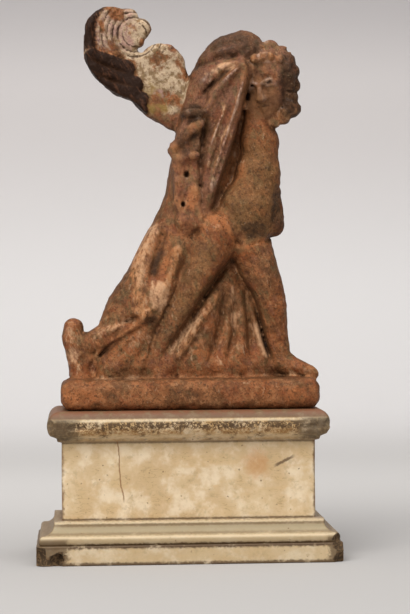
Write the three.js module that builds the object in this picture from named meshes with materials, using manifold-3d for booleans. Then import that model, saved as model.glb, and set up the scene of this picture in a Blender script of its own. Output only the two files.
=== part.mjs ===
// A small terracotta figure of winged Eros on its own slab, standing on a moulded marble base.
// Millimetres, +Z up, the viewer looks along +Y. The origin is the centre of the base's underside.
import * as THREE from 'three';
import { mergeVertices } from 'three/addons/utils/BufferGeometryUtils.js';
import Module from 'manifold-3d';

const wasm = await Module();
wasm.setup();

// Marble base
const dieLength = 136.4;
const dieDepth = 52;
const baseHeight = 81;
const corniceHeight = 16.8;
const corniceOverhang = 7.7;
const plinthHeight = 10.4;
const footHeight = 12.2;
const footOverhang = 13.7;
const cornerRound = 1.6;

// Terracotta
const slabLength = 140;
const slabDepth = 55;
const slabThickness = 16.5;
const slabCornerRadius = 7.5;
const slabEdgeRadius = 6.2;
const figureRise = 205.7;
const figureOffset = 1.6;

// The figure is laid out in steps, so many to its rise. The slab's top lies at the ground step.
const groundStepCount = 30;
const stepCount = 374;
const stepSize = figureRise / stepCount;

// Fineness of the faceted solid: the sampling cell in steps, and the triangles that are kept.
const cell = 4.4;
const trianglesKept = 8300;

// Small mathematics
function clamp(value, low, high) {
  return Math.min(Math.max(value, low), high);
}

function ease(value, low, high) {
  const t = clamp((value - low) / (high - low), 0, 1);
  return t * t * (3 - 2 * t);
}

function blend(a, b, width) {
  const h = Math.max(width - Math.abs(a - b), 0) / width;
  return Math.min(a, b) - h * h * width * 0.25;
}

function carve(a, b, width) {
  return -blend(-a, b, width);
}

// A smooth curve through knots that hold any number of values.
function bend(knots, pieces) {
  if (knots.length < 3) {
    return knots;
  }
  const first = knots[0].map((value, k) => 2 * value - knots[1][k]);
  const end = knots.at(-1).map((value, k) => 2 * value - knots.at(-2)[k]);
  const all = [first, ...knots, end];
  const line = [];
  for (let i = 1; i < all.length - 2; i += 1) {
    for (let j = 0; j < pieces; j += 1) {
      const t = j / pieces;
      line.push(all[i].map((b, k) => {
        const a = all[i - 1][k];
        const c = all[i + 1][k];
        const d = all[i + 2][k];
        const square = (2 * a - 5 * b + 4 * c - d) * t * t;
        const cube = (3 * b - a - 3 * c + d) * t * t * t;
        return 0.5 * (2 * b + (c - a) * t + square + cube);
      }));
    }
  }
  line.push(knots.at(-1));
  return line;
}

// Forms: each maker returns a function that gives the distance of a point from the form's skin.
function ball(centre, radii) {
  return (x, y, z) => {
    const a = (x - centre[0]) / radii[0];
    const b = (y - centre[1]) / radii[1];
    const c = (z - centre[2]) / radii[2];
    const reach = Math.sqrt(a * a + b * b + c * c) + 1e-9;
    const slope = Math.sqrt((a / radii[0]) ** 2 + (b / radii[1]) ** 2 + (c / radii[2]) ** 2);
    return reach * (reach - 1) / (slope + 1e-9);
  };
}

// A round limb or roll of cloth along knots of place and radius.
function roll(...knots) {
  const line = bend(knots, 4);
  return (x, y, z) => {
    let nearest = Infinity;
    for (let i = 0; i < line.length - 1; i += 1) {
      const a = line[i];
      const b = line[i + 1];
      const dx = b[0] - a[0];
      const dy = b[1] - a[1];
      const dz = b[2] - a[2];
      const along = (x - a[0]) * dx + (y - a[1]) * dy + (z - a[2]) * dz;
      const t = clamp(along / (dx * dx + dy * dy + dz * dz), 0, 1);
      const r = a[3] + (b[3] - a[3]) * t;
      const ex = x - a[0] - dx * t;
      const ey = y - a[1] - dy * t;
      const ez = z - a[2] - dz * t;
      nearest = Math.min(nearest, Math.sqrt(ex * ex + ey * ey + ez * ez) - r);
    }
    return nearest;
  };
}

// The same in the plane of the front, for flat things: knots of x, z and half width.
function strip(...knots) {
  const line = roll(...knots.map(([x, z, half]) => [x, 0, z, half]));
  return (x, z) => line(x, 0, z);
}

// A flat outline given a thickness, with rounded edges.
function plate(outline, y, middle, half, round) {
  const across = outline + round;
  const through = Math.abs(y - middle) - half + round;
  const outside = Math.hypot(Math.max(across, 0), Math.max(through, 0));
  return outside + Math.min(Math.max(across, through), 0) - round;
}

// A carved line seen from the front: 1 on the line, fading to both sides and towards its ends.
function groove(width, ...points) {
  const line = bend(points, 4);
  const lengths = line.slice(1).map((b, i) => Math.hypot(b[0] - line[i][0], b[1] - line[i][1]));
  const total = lengths.reduce((sum, length) => sum + length, 0);
  const endShare = 0.15;
  return (x, z) => {
    let nearest = Infinity;
    let at = 0;
    let run = 0;
    for (let i = 0; i < lengths.length; i += 1) {
      const dx = line[i + 1][0] - line[i][0];
      const dz = line[i + 1][1] - line[i][1];
      const along = (x - line[i][0]) * dx + (z - line[i][1]) * dz;
      const t = clamp(along / (dx * dx + dz * dz), 0, 1);
      const gap = (x - line[i][0] - dx * t) ** 2 + (z - line[i][1] - dz * t) ** 2;
      if (gap < nearest) {
        nearest = gap;
        at = (run + t * lengths[i]) / total;
      }
      run += lengths[i];
    }
    const taper = clamp(Math.min(at, 1 - at) / endShare, 0, 1);
    return Math.exp(-nearest / (width * width)) * (0.25 + 0.75 * taper);
  };
}

function carving(lines) {
  const made = lines.map(([height, width, ...points]) => [height, groove(width, ...points)]);
  return (x, z) => made.reduce((sum, [height, line]) => sum + height * line(x, z), 0);
}

// Joins forms with the same softness.
function union(softness, ...forms) {
  return (x, y, z) => forms.reduce(
    (nearest, form) => blend(nearest, form(x, y, z), softness),
    1e3,
  );
}

// The cloak that falls from the head over the back to the ground
const cloak = roll(
  [57.5, 4, 353, 22.5], [43, 5, 343, 26.5], [31, 6, 324, 28], [22, 6, 292, 28], [16, 6, 262, 29],
  [12, 6, 232, 30], [6, 5, 200, 31], [-9, 4, 157, 33], [-28, 3, 120, 35], [-50, 2, 86, 35],
  [-60, 2, 52, 34],
);
const cloakBack = roll(
  [64, 14, 330, 19], [62, 20, 290, 20], [56, 23, 240, 22], [44, 22, 190, 27], [28, 16, 130, 34],
  [8, 10, 80, 37], [0, 8, 46, 37],
);
const cloakFoot = roll([-60, 2, 40, 30], [0, 6, 40, 34], [56, 8, 40, 30], [78, 8, 40, 22]);
const trailingCloth = union(
  4,
  roll([-36, -16, 88, 12], [-60, -16, 78, 13], [-84, -13, 70, 13], [-100, -8, 64, 12]),
  roll([-44, -16, 72, 11], [-62, -18, 54, 13], [-78, -16, 36, 14]),
  roll([-98, 0, 48, 16], [-70, 2, 46, 26]),
);
const raisedHeel = roll([-114, -4, 80, 10], [-115, -5, 68, 10.5], [-111, -7, 52, 10], [-107, -8, 32, 12]);
const ribCount = 6;
const cuffRibs = Array.from({ length: ribCount }, (_, i) => {
  const left = 3.5 * i;
  const down = 8 * i;
  return [1.6, 2.6, [-56 - left, 132 - down], [-64 - left, 131 - down], [-74 - left, 124 - down]];
});
const cloakFolds = carving([
  [5, 8, [-28, 188], [-46, 150], [-50, 114], [-46, 92]],
  [-5, 5, [-22, 176], [-32, 146], [-38, 124]],
  [4, 9, [-9, 168], [-18, 132], [-30, 108], [-34, 96]],
  [-4, 5, [-6, 146], [-14, 112], [-26, 84], [-34, 60]],
  [5, 5, [-56, 96], [-46, 92], [-36, 87]],
  [-3.5, 4, [-46, 96], [-68, 78], [-88, 52]],
  ...cuffRibs,
]);
const backFolds = carving([
  [4, 9, [40, 350], [24, 260], [6, 150], [-20, 50]],
  [-3, 6, [54, 350], [44, 260], [28, 150], [14, 50]],
  [3.5, 8, [64, 330], [60, 240], [52, 150], [46, 50]],
  [-3, 6, [24, 330], [2, 240], [-28, 150], [-62, 60]],
]);

// Pleats that fan out between the legs
const pleats = union(
  3,
  ...[[38, -18, 17, 42], [43, 8, 16, 36], [47, 30, 14, 34], [52, 50, 13, 34], [60, 70, 13, 34]].map(
    ([top, foot, radius, low], i) => roll([top, -4 + i, 127 - i, 9], [foot, -12 + 2 * i, low, radius]),
  ),
);

const pleatLines = carving([
  [-8, 4.5, [40, 146], [14, 110], [-8, 76], [-27, 50]],
  [4, 5, [34, 120], [14, 90], [-6, 62], [-20, 44]],
  [-4, 3.5, [38, 120], [30, 86], [20, 46]],
  [3, 4.5, [43, 124], [40, 90], [34, 50]],
  [-3.5, 3.5, [47, 110], [44, 76], [36, 42]],
  [3, 4.5, [50, 118], [53, 86], [52, 50]],
  [-3, 3.5, [55, 112], [60, 80], [62, 44]],
  [3, 4, [61, 96], [70, 68], [77, 46]],
  [-3.5, 3, [58, 122], [68, 94], [75, 66], [84, 42]],
]);

// Body
const torso = union(
  12,
  ball([73, -3, 262], [18, 16, 22]),
  ball([70, -6, 230], [23, 19, 26]),
  ball([59, -12, 198], [28, 22, 27]),
  ball([53, -7, 176], [33, 21, 18]),
  roll([70, -3, 266, 13], [69, -6, 300, 12]),
);
const frontLeg = union(
  6,
  roll([62, -8, 158, 21.5], [79, -12, 112, 16.5], [85, -11, 78, 13.5], [90, -8, 48, 11.5]),
  roll([91, -6, 45, 11], [108, -14, 38, 9.5], [121.5, -18, 33.5, 6.5]),
  ball([84, -18, 100], [9, 8, 10]),
);
const rearLeg = roll(
  [28, -12, 172, 25], [12, -16, 132, 22], [-8, -18, 92, 18], [-26, -16, 54, 17], [-30, -12, 32, 20],
);
const farArm = union(
  8,
  roll([79, 6, 270, 11], [79, 11, 232, 10], [83, 5, 205, 9]),
  ball([86, -3, 213], [7, 8, 8]),
  ball([86, -7, 197], [9, 10, 10]),
  ball([87, -7, 181], [9, 11, 11]),
);
const groin = carving([
  [2.6, 2.5, [32, 181], [42, 169], [51, 161]],
  [2.6, 2.5, [84, 170], [72, 163], [60, 160]],
]);

// Cloth that hangs from the edge of the hood, and the folds that spread from the brow
const hangingCloth = strip(
  [52, 332, 12], [41, 318, 18], [33, 292, 19], [28, 262, 15], [21, 230, 11], [16, 200, 7], [14, 182, 4],
);
const hoodFolds = carving([
  [-4, 3.5, [2, 337], [28, 345], [53, 348]],
  [2.5, 5, [14, 345], [34, 354], [52, 356]],
  [2, 4, [22, 358], [40, 366], [58, 366]],
  [-3, 3.5, [52, 342], [32, 326], [14, 298]],
  [3, 6, [50, 346], [28, 334], [6, 316]],
  [-3, 3.5, [53, 336], [38, 308], [20, 272]],
  [3, 5, [52, 338], [35, 318], [14, 288]],
  [3.5, 4, [54, 334], [44, 310], [30, 276], [20, 246], [14, 222]],
  [-2.5, 3, [52, 330], [40, 296], [28, 262], [20, 226]],
  [3.5, 4, [54, 326], [48, 300], [38, 270], [26, 232], [18, 200]],
  [-2.5, 3, [38, 320], [20, 288], [12, 262]],
]);

// The break where the near wing is lost, with its broken rod, hollows and two dowel holes
const breakPatch = strip([4, 282, 10], [-1, 258, 13], [-2, 232, 13], [-1, 204, 13], [1, 186, 13]);
const breakLumps = union(
  3,
  roll([11, -34, 281, 5], [-13, -24, 256, 7]),
  roll([-13, -25, 248, 3.5], [6, -33, 249, 4]),
  ball([4, -28, 290], [12, 9, 6]),
  ball([-2, -26, 185], [11, 9, 11]),
);
const breakHollows = union(
  3,
  ball([-9, -38, 254], [6, 9, 7]),
  ball([5, -38, 262], [6, 8, 8]),
  roll([-2, -36, 238, 7], [-1, -36, 196, 6]),
);
const dowelHoles = union(
  1,
  ball([-2, -33, 230], [2.4, 14, 3.8]),
  ball([-6, -33, 201], [2.4, 14, 3]),
);

function nearWingBreak(x, y, z) {
  const patch = plate(breakPatch(x, z), y, -18, 14, 5);
  const lumpy = blend(patch, breakLumps(x, y, z), 3);
  const hollowed = carve(lumpy, breakHollows(x, y, z), 3);
  return carve(hollowed, dowelHoles(x, y, z), 1);
}

// The far wing: a feathered plate whose tip curls over, with coverts laid on its lower part
const wingRoot = strip([-10, 296, 16], [-18, 334, 19], [-25, 342, 22.5]);
const wingArm = strip(
  [-6, 292, 17], [-26, 308, 21], [-44, 322, 19], [-62, 337, 25], [-76, 352, 25], [-73, 373, 28.5],
);
const tipFeathers = [
  strip([-70, 388, 12], [-56, 391, 9]),
  strip([-64, 376, 14], [-44.5, 379, 10.5]),
  strip([-62, 368, 12], [-47.5, 367, 7]),
];
const coverts = [
  strip([-92, 344, 13], [-60, 338, 9.5]),
  strip([-86, 328, 12], [-52, 322, 9.5]),
  strip([-72, 314, 10], [-46, 308, 8.5]),
  strip([-58, 304, 7], [-44, 297, 6]),
];
const curlCentre = [-51, 373];

function wing(x, y, z) {
  let outline = blend(wingRoot(x, z), wingArm(x, z), 4);
  for (const feather of tipFeathers) {
    outline = blend(outline, feather(x, z), 1.2);
  }
  const middle = 14 + 8 * ease(-x, 0, 60) - 12 * ease(-x, 60, 110);
  const body = plate(outline, y, middle, 8, 6.5);
  let layer = coverts.reduce((nearest, feather) => blend(nearest, feather(x, z), 1.5), 1e3);
  layer = Math.max(layer, outline + 0.5);
  const laid = plate(layer, y, middle - 5, 7, 3);
  if (y > middle) {
    return Math.min(body, laid);
  }
  const reach = Math.hypot(x - curlCentre[0], z - curlCentre[1]);
  const rim = Math.exp(-(((reach - 47) / 3) ** 2)) - Math.exp(-(((reach - 40.5) / 2) ** 2));
  const inTip = ease(-x - 51, -22, 2) * ease(z, 345, 356) * ease(-outline, 0, 5);
  return Math.min(body, laid) - 1.6 * rim * inTip;
}

// Head: a plain calm child's face, in the head's own frame (across, out of the face, up)
const headCentre = [81, -3, 320];
const headScale = 1.07;
const headTurn = THREE.MathUtils.degToRad(26);
const headBow = THREE.MathUtils.degToRad(14);
const headLean = THREE.MathUtils.degToRad(-6);
const faceOut = new THREE.Vector3(
  -Math.sin(headTurn) * Math.cos(headBow),
  -Math.cos(headTurn) * Math.cos(headBow),
  -Math.sin(headBow),
);
const faceSide = new THREE.Vector3(Math.cos(headTurn), -Math.sin(headTurn), 0);
const faceUp = new THREE.Vector3().crossVectors(faceOut, faceSide);
const leanedSide = faceSide.clone().applyAxisAngle(faceOut, headLean);
const leanedUp = faceUp.clone().applyAxisAngle(faceOut, headLean);

const skull = union(
  8,
  ball([0, -3, 6], [23, 24, 26]),
  ball([0, 6, -10], [17.5, 17, 17]),
  ball([0, 14, -24], [7.5, 7.5, 6.5]),
);
const cheek = ball([9, 13, -9], [7, 7, 8]);
const eyeSocket = ball([8.5, 26, 1.5], [6.5, 6.5, 5]);
const eye = ball([8.5, 17.2, 0.3], [4.6, 4.2, 3.5]);
const nose = roll([0, 21.5, 3, 2.2], [0, 26, -8, 3.4]);
const lips = union(
  1,
  roll([0, 22.4, -13.8, 1.9], [5.2, 19.8, -14.8, 1.1]),
  roll([0, 21.8, -18.2, 2.2], [4.2, 19.8, -17.6, 1.2]),
);
const hairCap = ball([1, -4, 8], [25.5, 26, 27]);
const faceOpening = ball([0, 30, -10], [19, 26, 26]);
const curls = [
  [74, -8, 355, 7.5], [84, -6, 357, 8], [93, -4, 354, 7], [101, -8, 345, 7.5], [106, -6, 334, 7],
  [107, -6, 320, 7], [104, -10, 308, 6.5], [104, -10, 296, 8.5], [96, -12, 288, 7.5], [87, -12, 283, 6],
  [60, -18, 336, 6], [56, -18, 325, 5.5], [54, -16, 313, 5], [55, -14, 301, 5], [66, -25, 344, 5],
  [74, -27, 346, 5], [82, -27, 346, 5], [90, -25, 344, 5], [97, -21, 337, 5], [101, -18, 328, 5],
  [102, -16, 318, 4.8], [101, -16, 309, 4.8], [99, -15, 300, 4.8], [95, -16, 292, 4.6],
].map(([x, y, z, r]) => ball([x, y, z], [r, 0.9 * r, r]));

function head(x, y, z) {
  const at = new THREE.Vector3(x, y, z).sub(new THREE.Vector3(...headCentre));
  at.divideScalar(headScale);
  const across = at.dot(leanedSide);
  const out = at.dot(faceOut);
  const up = at.dot(leanedUp);
  const mirrored = Math.abs(across);
  let face = blend(skull(across, out, up), cheek(mirrored, out, up), 5);
  face = carve(face, eyeSocket(mirrored, out, up), 3);
  face = blend(face, eye(mirrored, out, up), 1.5);
  face = blend(face, nose(across, out, up), 2.5);
  face = blend(face, lips(mirrored, out, up), 1.2);
  let hair = carve(hairCap(across, out, up), faceOpening(across, out, up), 4) * headScale;
  for (const curl of curls) {
    hair = blend(hair, curl(x, y, z), 5);
  }
  return blend(face * headScale, hair, 2);
}

// The whole figure above the slab, cut off inside it
const sunkBelow = 14;

function figure(x, y, z) {
  const front = ease(-y, -12, 0);
  const back = ease(y, 10, 24);
  let skin = blend(cloak(x, y, z), cloakBack(x, y, z), 18);
  skin = blend(skin, cloakFoot(x, y, z), 8);
  skin = blend(skin, trailingCloth(x, y, z), 6);
  skin = blend(skin, raisedHeel(x, y, z), 6);
  skin -= cloakFolds(x, z) * front;
  skin -= backFolds(x, z) * back;
  skin = blend(skin, pleats(x, y, z), 4);
  let body = blend(torso(x, y, z), rearLeg(x, y, z), 5);
  body = blend(body, frontLeg(x, y, z), 6);
  body = blend(body, farArm(x, y, z), 4);
  body += groin(x, z) * front;
  skin = blend(skin, body, 3) - pleatLines(x, z) * front;
  const folds = hoodFolds(x, z) * front;
  skin -= folds * 0.8 * ease(z, 250, 280) * ease(-x, -60, -50);
  const hanging = plate(hangingCloth(x, z), y, -15, 14, 9) - folds;
  skin = blend(skin, hanging, 4);
  skin = blend(skin, nearWingBreak(x, y, z), 3);
  skin = blend(skin, wing(x, y, z), 3);
  skin = blend(skin, head(x, y, z), 3);
  return Math.max(skin, groundStepCount - sunkBelow - z);
}

// The sampling grid around the figure
const reach = { low: [-132, -60, groundStepCount - sunkBelow - 6], high: [136, 62, 412] };

function sampleGrid(form) {
  const size = reach.high.map((high, k) => Math.ceil((high - reach.low[k]) / cell) + 1);
  const at = (i, j, k) => (k * size[1] + j) * size[0] + i;
  const values = new Float64Array(size[0] * size[1] * size[2]);
  for (let k = 0; k < size[2]; k += 1) {
    for (let j = 0; j < size[1]; j += 1) {
      for (let i = 0; i < size[0]; i += 1) {
        const place = [i, j, k].map((step, axis) => reach.low[axis] + step * cell);
        values[at(i, j, k)] = form(...place);
      }
    }
  }
  return { size, at, values };
}

// Fills pockets that the outside can't reach, so that the body is solid throughout.
function fillPockets(grid) {
  const { size, at, values } = grid;
  const open = new Uint8Array(values.length);
  const queue = [[0, 0, 0]];
  open[0] = 1;
  const steps = [[1, 0, 0], [-1, 0, 0], [0, 1, 0], [0, -1, 0], [0, 0, 1], [0, 0, -1]];
  while (queue.length) {
    const [i, j, k] = queue.pop();
    for (const [di, dj, dk] of steps) {
      const next = [i + di, j + dj, k + dk];
      if (next.some((value, axis) => value < 0 || value >= size[axis])) {
        continue;
      }
      const index = at(...next);
      if (!open[index] && values[index] > 0) {
        open[index] = 1;
        queue.push(next);
      }
    }
  }
  for (let index = 0; index < values.length; index += 1) {
    if (!open[index] && values[index] > 0) {
      values[index] = -0.2;
    }
  }
}

// Fills the corners where the body would touch itself only along an edge or at a point.
function fillTouchingCorners(grid) {
  const { size, at, values } = grid;
  const inside = (index) => values[index] <= 0;
  const stride = [1, size[0], size[0] * size[1]];
  const fillNearest = (a, b) => {
    values[Math.abs(values[a]) < Math.abs(values[b]) ? a : b] = -0.05;
  };
  const mendSquare = (base, u, v) => {
    const square = [base, base + stride[u], base + stride[v], base + stride[u] + stride[v]];
    const state = square.map(inside);
    if (state[0] === state[3] && state[1] === state[2] && state[0] !== state[1]) {
      fillNearest(...(state[0] ? [square[1], square[2]] : [square[0], square[3]]));
      return true;
    }
    return false;
  };
  const mendCube = (base) => {
    const corners = Array.from({ length: 8 }, (_, n) => (
      base + (n & 1) * stride[0] + ((n >> 1) & 1) * stride[1] + ((n >> 2) & 1) * stride[2]
    ));
    const count = corners.filter(inside).length;
    if (count !== 2 && count !== 6) {
      return false;
    }
    for (let n = 0; n < 4; n += 1) {
      const a = corners[n];
      const b = corners[7 - n];
      if (inside(a) !== inside(b) || inside(a) !== (count === 2)) {
        continue;
      }
      if (count === 6) {
        fillNearest(a, b);
      } else {
        values[corners[n ^ 1]] = -0.05;
      }
      return true;
    }
    return false;
  };
  let mended = true;
  while (mended) {
    mended = false;
    for (let k = 0; k < size[2] - 1; k += 1) {
      for (let j = 0; j < size[1] - 1; j += 1) {
        for (let i = 0; i < size[0] - 1; i += 1) {
          const base = at(i, j, k);
          const squares = [mendSquare(base, 0, 1), mendSquare(base, 0, 2), mendSquare(base, 1, 2)];
          const cube = mendCube(base);
          mended = mended || cube || squares.some(Boolean);
        }
      }
    }
  }
}

// Moves a point onto the form's skin.
function settle(form, point, most) {
  const start = [...point];
  const probe = 0.4;
  for (let turn = 0; turn < 3; turn += 1) {
    const value = form(...point);
    const slope = [0, 1, 2].map((axis) => {
      const ahead = [...point];
      const behind = [...point];
      ahead[axis] += probe;
      behind[axis] -= probe;
      return (form(...ahead) - form(...behind)) / (2 * probe);
    });
    const steep = slope[0] ** 2 + slope[1] ** 2 + slope[2] ** 2 + 0.05;
    const move = clamp(value, -1.5, 1.5) / steep;
    for (let axis = 0; axis < 3; axis += 1) {
      const next = point[axis] - move * slope[axis];
      point[axis] = clamp(next, start[axis] - most, start[axis] + most);
    }
  }
  return point;
}

// One vertex in each cell that the skin crosses, and a four-sided face across each crossed edge.
function meshForm(form) {
  const grid = sampleGrid(form);
  fillPockets(grid);
  fillTouchingCorners(grid);
  const { size, at, values } = grid;
  const stride = [1, size[0], size[0] * size[1]];
  const vertexOf = new Int32Array(values.length).fill(-1);
  const vertices = [];
  for (let k = 0; k < size[2] - 1; k += 1) {
    for (let j = 0; j < size[1] - 1; j += 1) {
      for (let i = 0; i < size[0] - 1; i += 1) {
        const base = at(i, j, k);
        const sum = [0, 0, 0];
        let crossings = 0;
        for (let axis = 0; axis < 3; axis += 1) {
          const u = (axis + 1) % 3;
          const v = (axis + 2) % 3;
          for (let n = 0; n < 4; n += 1) {
            const offset = [0, 0, 0];
            offset[u] = n & 1;
            offset[v] = n >> 1;
            const a = base + offset[u] * stride[u] + offset[v] * stride[v];
            const b = a + stride[axis];
            if (values[a] <= 0 === values[b] <= 0) {
              continue;
            }
            offset[axis] = values[a] / (values[a] - values[b]);
            crossings += 1;
            for (let w = 0; w < 3; w += 1) {
              sum[w] += offset[w];
            }
          }
        }
        if (crossings) {
          const corner = [i, j, k];
          const place = sum.map((value, w) => reach.low[w] + (corner[w] + value / crossings) * cell);
          vertexOf[base] = vertices.length;
          vertices.push(settle(form, place, 0.45 * cell));
        }
      }
    }
  }
  const triangles = [];
  const spread = (a, b) => Math.hypot(...vertices[a].map((value, w) => value - vertices[b][w]));
  for (let k = 1; k < size[2] - 1; k += 1) {
    for (let j = 1; j < size[1] - 1; j += 1) {
      for (let i = 1; i < size[0] - 1; i += 1) {
        const base = at(i, j, k);
        for (let axis = 0; axis < 3; axis += 1) {
          const inHere = values[base] <= 0;
          if (inHere === values[base + stride[axis]] <= 0) {
            continue;
          }
          const u = stride[(axis + 1) % 3];
          const v = stride[(axis + 2) % 3];
          const ring = [base, base - u, base - u - v, base - v].map((index) => vertexOf[index]);
          if (inHere === false) {
            ring.reverse();
          }
          const [a, b, c, d] = ring;
          if (spread(a, c) <= spread(b, d)) {
            triangles.push([a, b, c], [a, c, d]);
          } else {
            triangles.push([b, c, d], [b, d, a]);
          }
        }
      }
    }
  }
  return { vertices, triangles };
}

// A heap of edges, cheapest first
class Heap {
  items = [];

  push(item) {
    const { items } = this;
    let index = items.push(item) - 1;
    while (index > 0) {
      const parent = (index - 1) >> 1;
      if (items[parent].cost <= item.cost) {
        break;
      }
      items[index] = items[parent];
      index = parent;
    }
    items[index] = item;
  }

  pop() {
    const { items } = this;
    const best = items[0];
    const last = items.pop();
    if (!items.length) {
      return best;
    }
    let index = 0;
    for (;;) {
      let child = 2 * index + 1;
      if (child >= items.length) {
        break;
      }
      if (child + 1 < items.length && items[child + 1].cost < items[child].cost) {
        child += 1;
      }
      if (items[child].cost >= last.cost) {
        break;
      }
      items[index] = items[child];
      index = child;
    }
    items[index] = last;
    return best;
  }
}

// Draws edges together, the flattest places first, until only so many triangles are left.
function thinOut({ vertices, triangles }, keep) {
  const points = vertices.map((vertex) => new THREE.Vector3(...vertex));
  const around = points.map(() => new Set());
  const planes = points.map(() => new Float64Array(10));
  const version = new Int32Array(points.length);
  const alive = triangles.map(() => true);
  triangles.forEach((triangle, index) => triangle.forEach((corner) => around[corner].add(index)));
  const normalOf = (a, b, c) => new THREE.Vector3()
    .subVectors(b, a)
    .cross(new THREE.Vector3().subVectors(c, a));
  for (const [a, b, c] of triangles) {
    const normal = normalOf(points[a], points[b], points[c]);
    const area = normal.length() / 2;
    normal.normalize();
    const plane = [normal.x, normal.y, normal.z, -normal.dot(points[a])];
    for (const corner of [a, b, c]) {
      let slot = 0;
      for (let row = 0; row < 4; row += 1) {
        for (let column = row; column < 4; column += 1) {
          planes[corner][slot] += plane[row] * plane[column] * area;
          slot += 1;
        }
      }
    }
  }
  const errorAt = (sum, { x, y, z }) => (
    sum[0] * x * x + sum[4] * y * y + sum[7] * z * z + sum[9]
    + 2 * (sum[1] * x * y + sum[2] * x * z + sum[5] * y * z)
    + 2 * (sum[3] * x + sum[6] * y + sum[8] * z)
  );
  const neighbours = (vertex) => {
    const found = new Set();
    for (const index of around[vertex]) {
      triangles[index].forEach((corner) => found.add(corner));
    }
    found.delete(vertex);
    return found;
  };
  const heap = new Heap();
  const offer = (a, b) => {
    const sum = planes[a].map((value, slot) => value + planes[b][slot]);
    const middle = new THREE.Vector3().addVectors(points[a], points[b]).multiplyScalar(0.5);
    const choices = [points[a], points[b], middle];
    const errors = choices.map((place) => errorAt(sum, place));
    const best = errors.indexOf(Math.min(...errors));
    const lengthCost = 1e-4 * points[a].distanceToSquared(points[b]);
    const place = choices[best].clone();
    heap.push({ a, b, place, cost: errors[best] + lengthCost, stamp: [version[a], version[b]] });
  };
  points.forEach((_, vertex) => {
    for (const other of neighbours(vertex)) {
      if (vertex < other) {
        offer(vertex, other);
      }
    }
  });
  const turnsOver = (vertex, other, place) => [...around[vertex]].some((index) => {
    if (triangles[index].includes(other)) {
      return false;
    }
    const corners = triangles[index].map((corner) => points[corner]);
    const moved = triangles[index].map((corner) => (corner === vertex ? place : points[corner]));
    const before = normalOf(...corners);
    const after = normalOf(...moved);
    return before.dot(after) < 0.35 * before.length() * after.length() || after.length() < 0.02;
  });
  let count = triangles.length;
  while (count > keep && heap.items.length) {
    const { a, b, place, stamp } = heap.pop();
    if (version[a] !== stamp[0] || version[b] !== stamp[1]) {
      continue;
    }
    const nearB = neighbours(b);
    const shared = [...neighbours(a)].filter((vertex) => nearB.has(vertex));
    if (shared.length !== 2 || turnsOver(a, b, place) || turnsOver(b, a, place)) {
      continue;
    }
    points[a].copy(place);
    planes[b].forEach((value, slot) => {
      planes[a][slot] += value;
    });
    for (const index of around[b]) {
      if (triangles[index].includes(a)) {
        alive[index] = false;
        triangles[index].forEach((corner) => corner !== b && around[corner].delete(index));
        count -= 1;
      } else {
        triangles[index] = triangles[index].map((corner) => (corner === b ? a : corner));
        around[a].add(index);
      }
    }
    around[b].clear();
    version[b] = -1;
    version[a] += 1;
    const ring = neighbours(a);
    for (const vertex of ring) {
      offer(Math.min(a, vertex), Math.max(a, vertex));
    }
  }
  return { vertices: points, triangles: triangles.filter((_, index) => alive[index]) };
}

function indexedGeometry(vertices, triangles) {
  const geometry = new THREE.BufferGeometry();
  geometry.setAttribute('position', new THREE.Float32BufferAttribute(vertices.flat(), 3));
  geometry.setIndex(triangles.flat());
  return geometry;
}

function toSolid(geometry) {
  const bare = geometry.clone();
  bare.deleteAttribute('normal');
  bare.deleteAttribute('uv');
  const merged = mergeVertices(bare, 1e-4);
  return new wasm.Manifold(new wasm.Mesh({
    numProp: 3,
    vertProperties: merged.attributes.position.array,
    triVerts: new Uint32Array(merged.index.array),
  }));
}

function toGeometry(solid) {
  const { vertProperties, triVerts } = solid.getMesh();
  const geometry = new THREE.BufferGeometry();
  geometry.setAttribute('position', new THREE.BufferAttribute(vertProperties, 3));
  geometry.setIndex(new THREE.BufferAttribute(triVerts, 1));
  return geometry;
}

// Stacks rounded rectangles into a closed body: each ring has its half length, half depth,
// corner radius and height.
function stackRings(rings, cornerPieces) {
  const vertices = [];
  const ringSize = 4 * (cornerPieces + 1);
  for (const { halfLength, halfDepth, radius, height } of rings) {
    for (let corner = 0; corner < 4; corner += 1) {
      const signX = corner === 0 || corner === 3 ? 1 : -1;
      const signY = corner < 2 ? 1 : -1;
      for (let piece = 0; piece <= cornerPieces; piece += 1) {
        const angle = (corner + piece / cornerPieces) * Math.PI / 2;
        vertices.push([
          signX * (halfLength - radius) + radius * Math.cos(angle),
          signY * (halfDepth - radius) + radius * Math.sin(angle),
          height,
        ]);
      }
    }
  }
  const triangles = [];
  for (let level = 0; level < rings.length - 1; level += 1) {
    for (let n = 0; n < ringSize; n += 1) {
      const a = level * ringSize + n;
      const b = level * ringSize + (n + 1) % ringSize;
      triangles.push([a, b, b + ringSize], [a, b + ringSize, a + ringSize]);
    }
  }
  const top = (rings.length - 1) * ringSize;
  for (let n = 1; n < ringSize - 1; n += 1) {
    triangles.push([0, n + 1, n], [top, top + n, top + n + 1]);
  }
  return indexedGeometry(vertices, triangles);
}

// The terracotta slab, with rounded upper and lower edges
function makeSlab() {
  const edgePieces = 4;
  const rings = [];
  const addRing = (angle, height) => {
    const inset = slabEdgeRadius * (1 - Math.cos(angle));
    rings.push({
      halfLength: slabLength / 2 - inset,
      halfDepth: slabDepth / 2 - inset,
      radius: slabCornerRadius - inset,
      height,
    });
  };
  for (let n = 0; n <= edgePieces; n += 1) {
    const angle = (1 - n / edgePieces) * Math.PI / 2;
    addRing(angle, slabEdgeRadius * (1 - Math.sin(angle)));
  }
  for (let n = 0; n <= edgePieces; n += 1) {
    const angle = n / edgePieces * Math.PI / 2;
    addRing(angle, slabThickness - slabEdgeRadius * (1 - Math.sin(angle)));
  }
  return stackRings(rings, 3);
}

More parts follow.
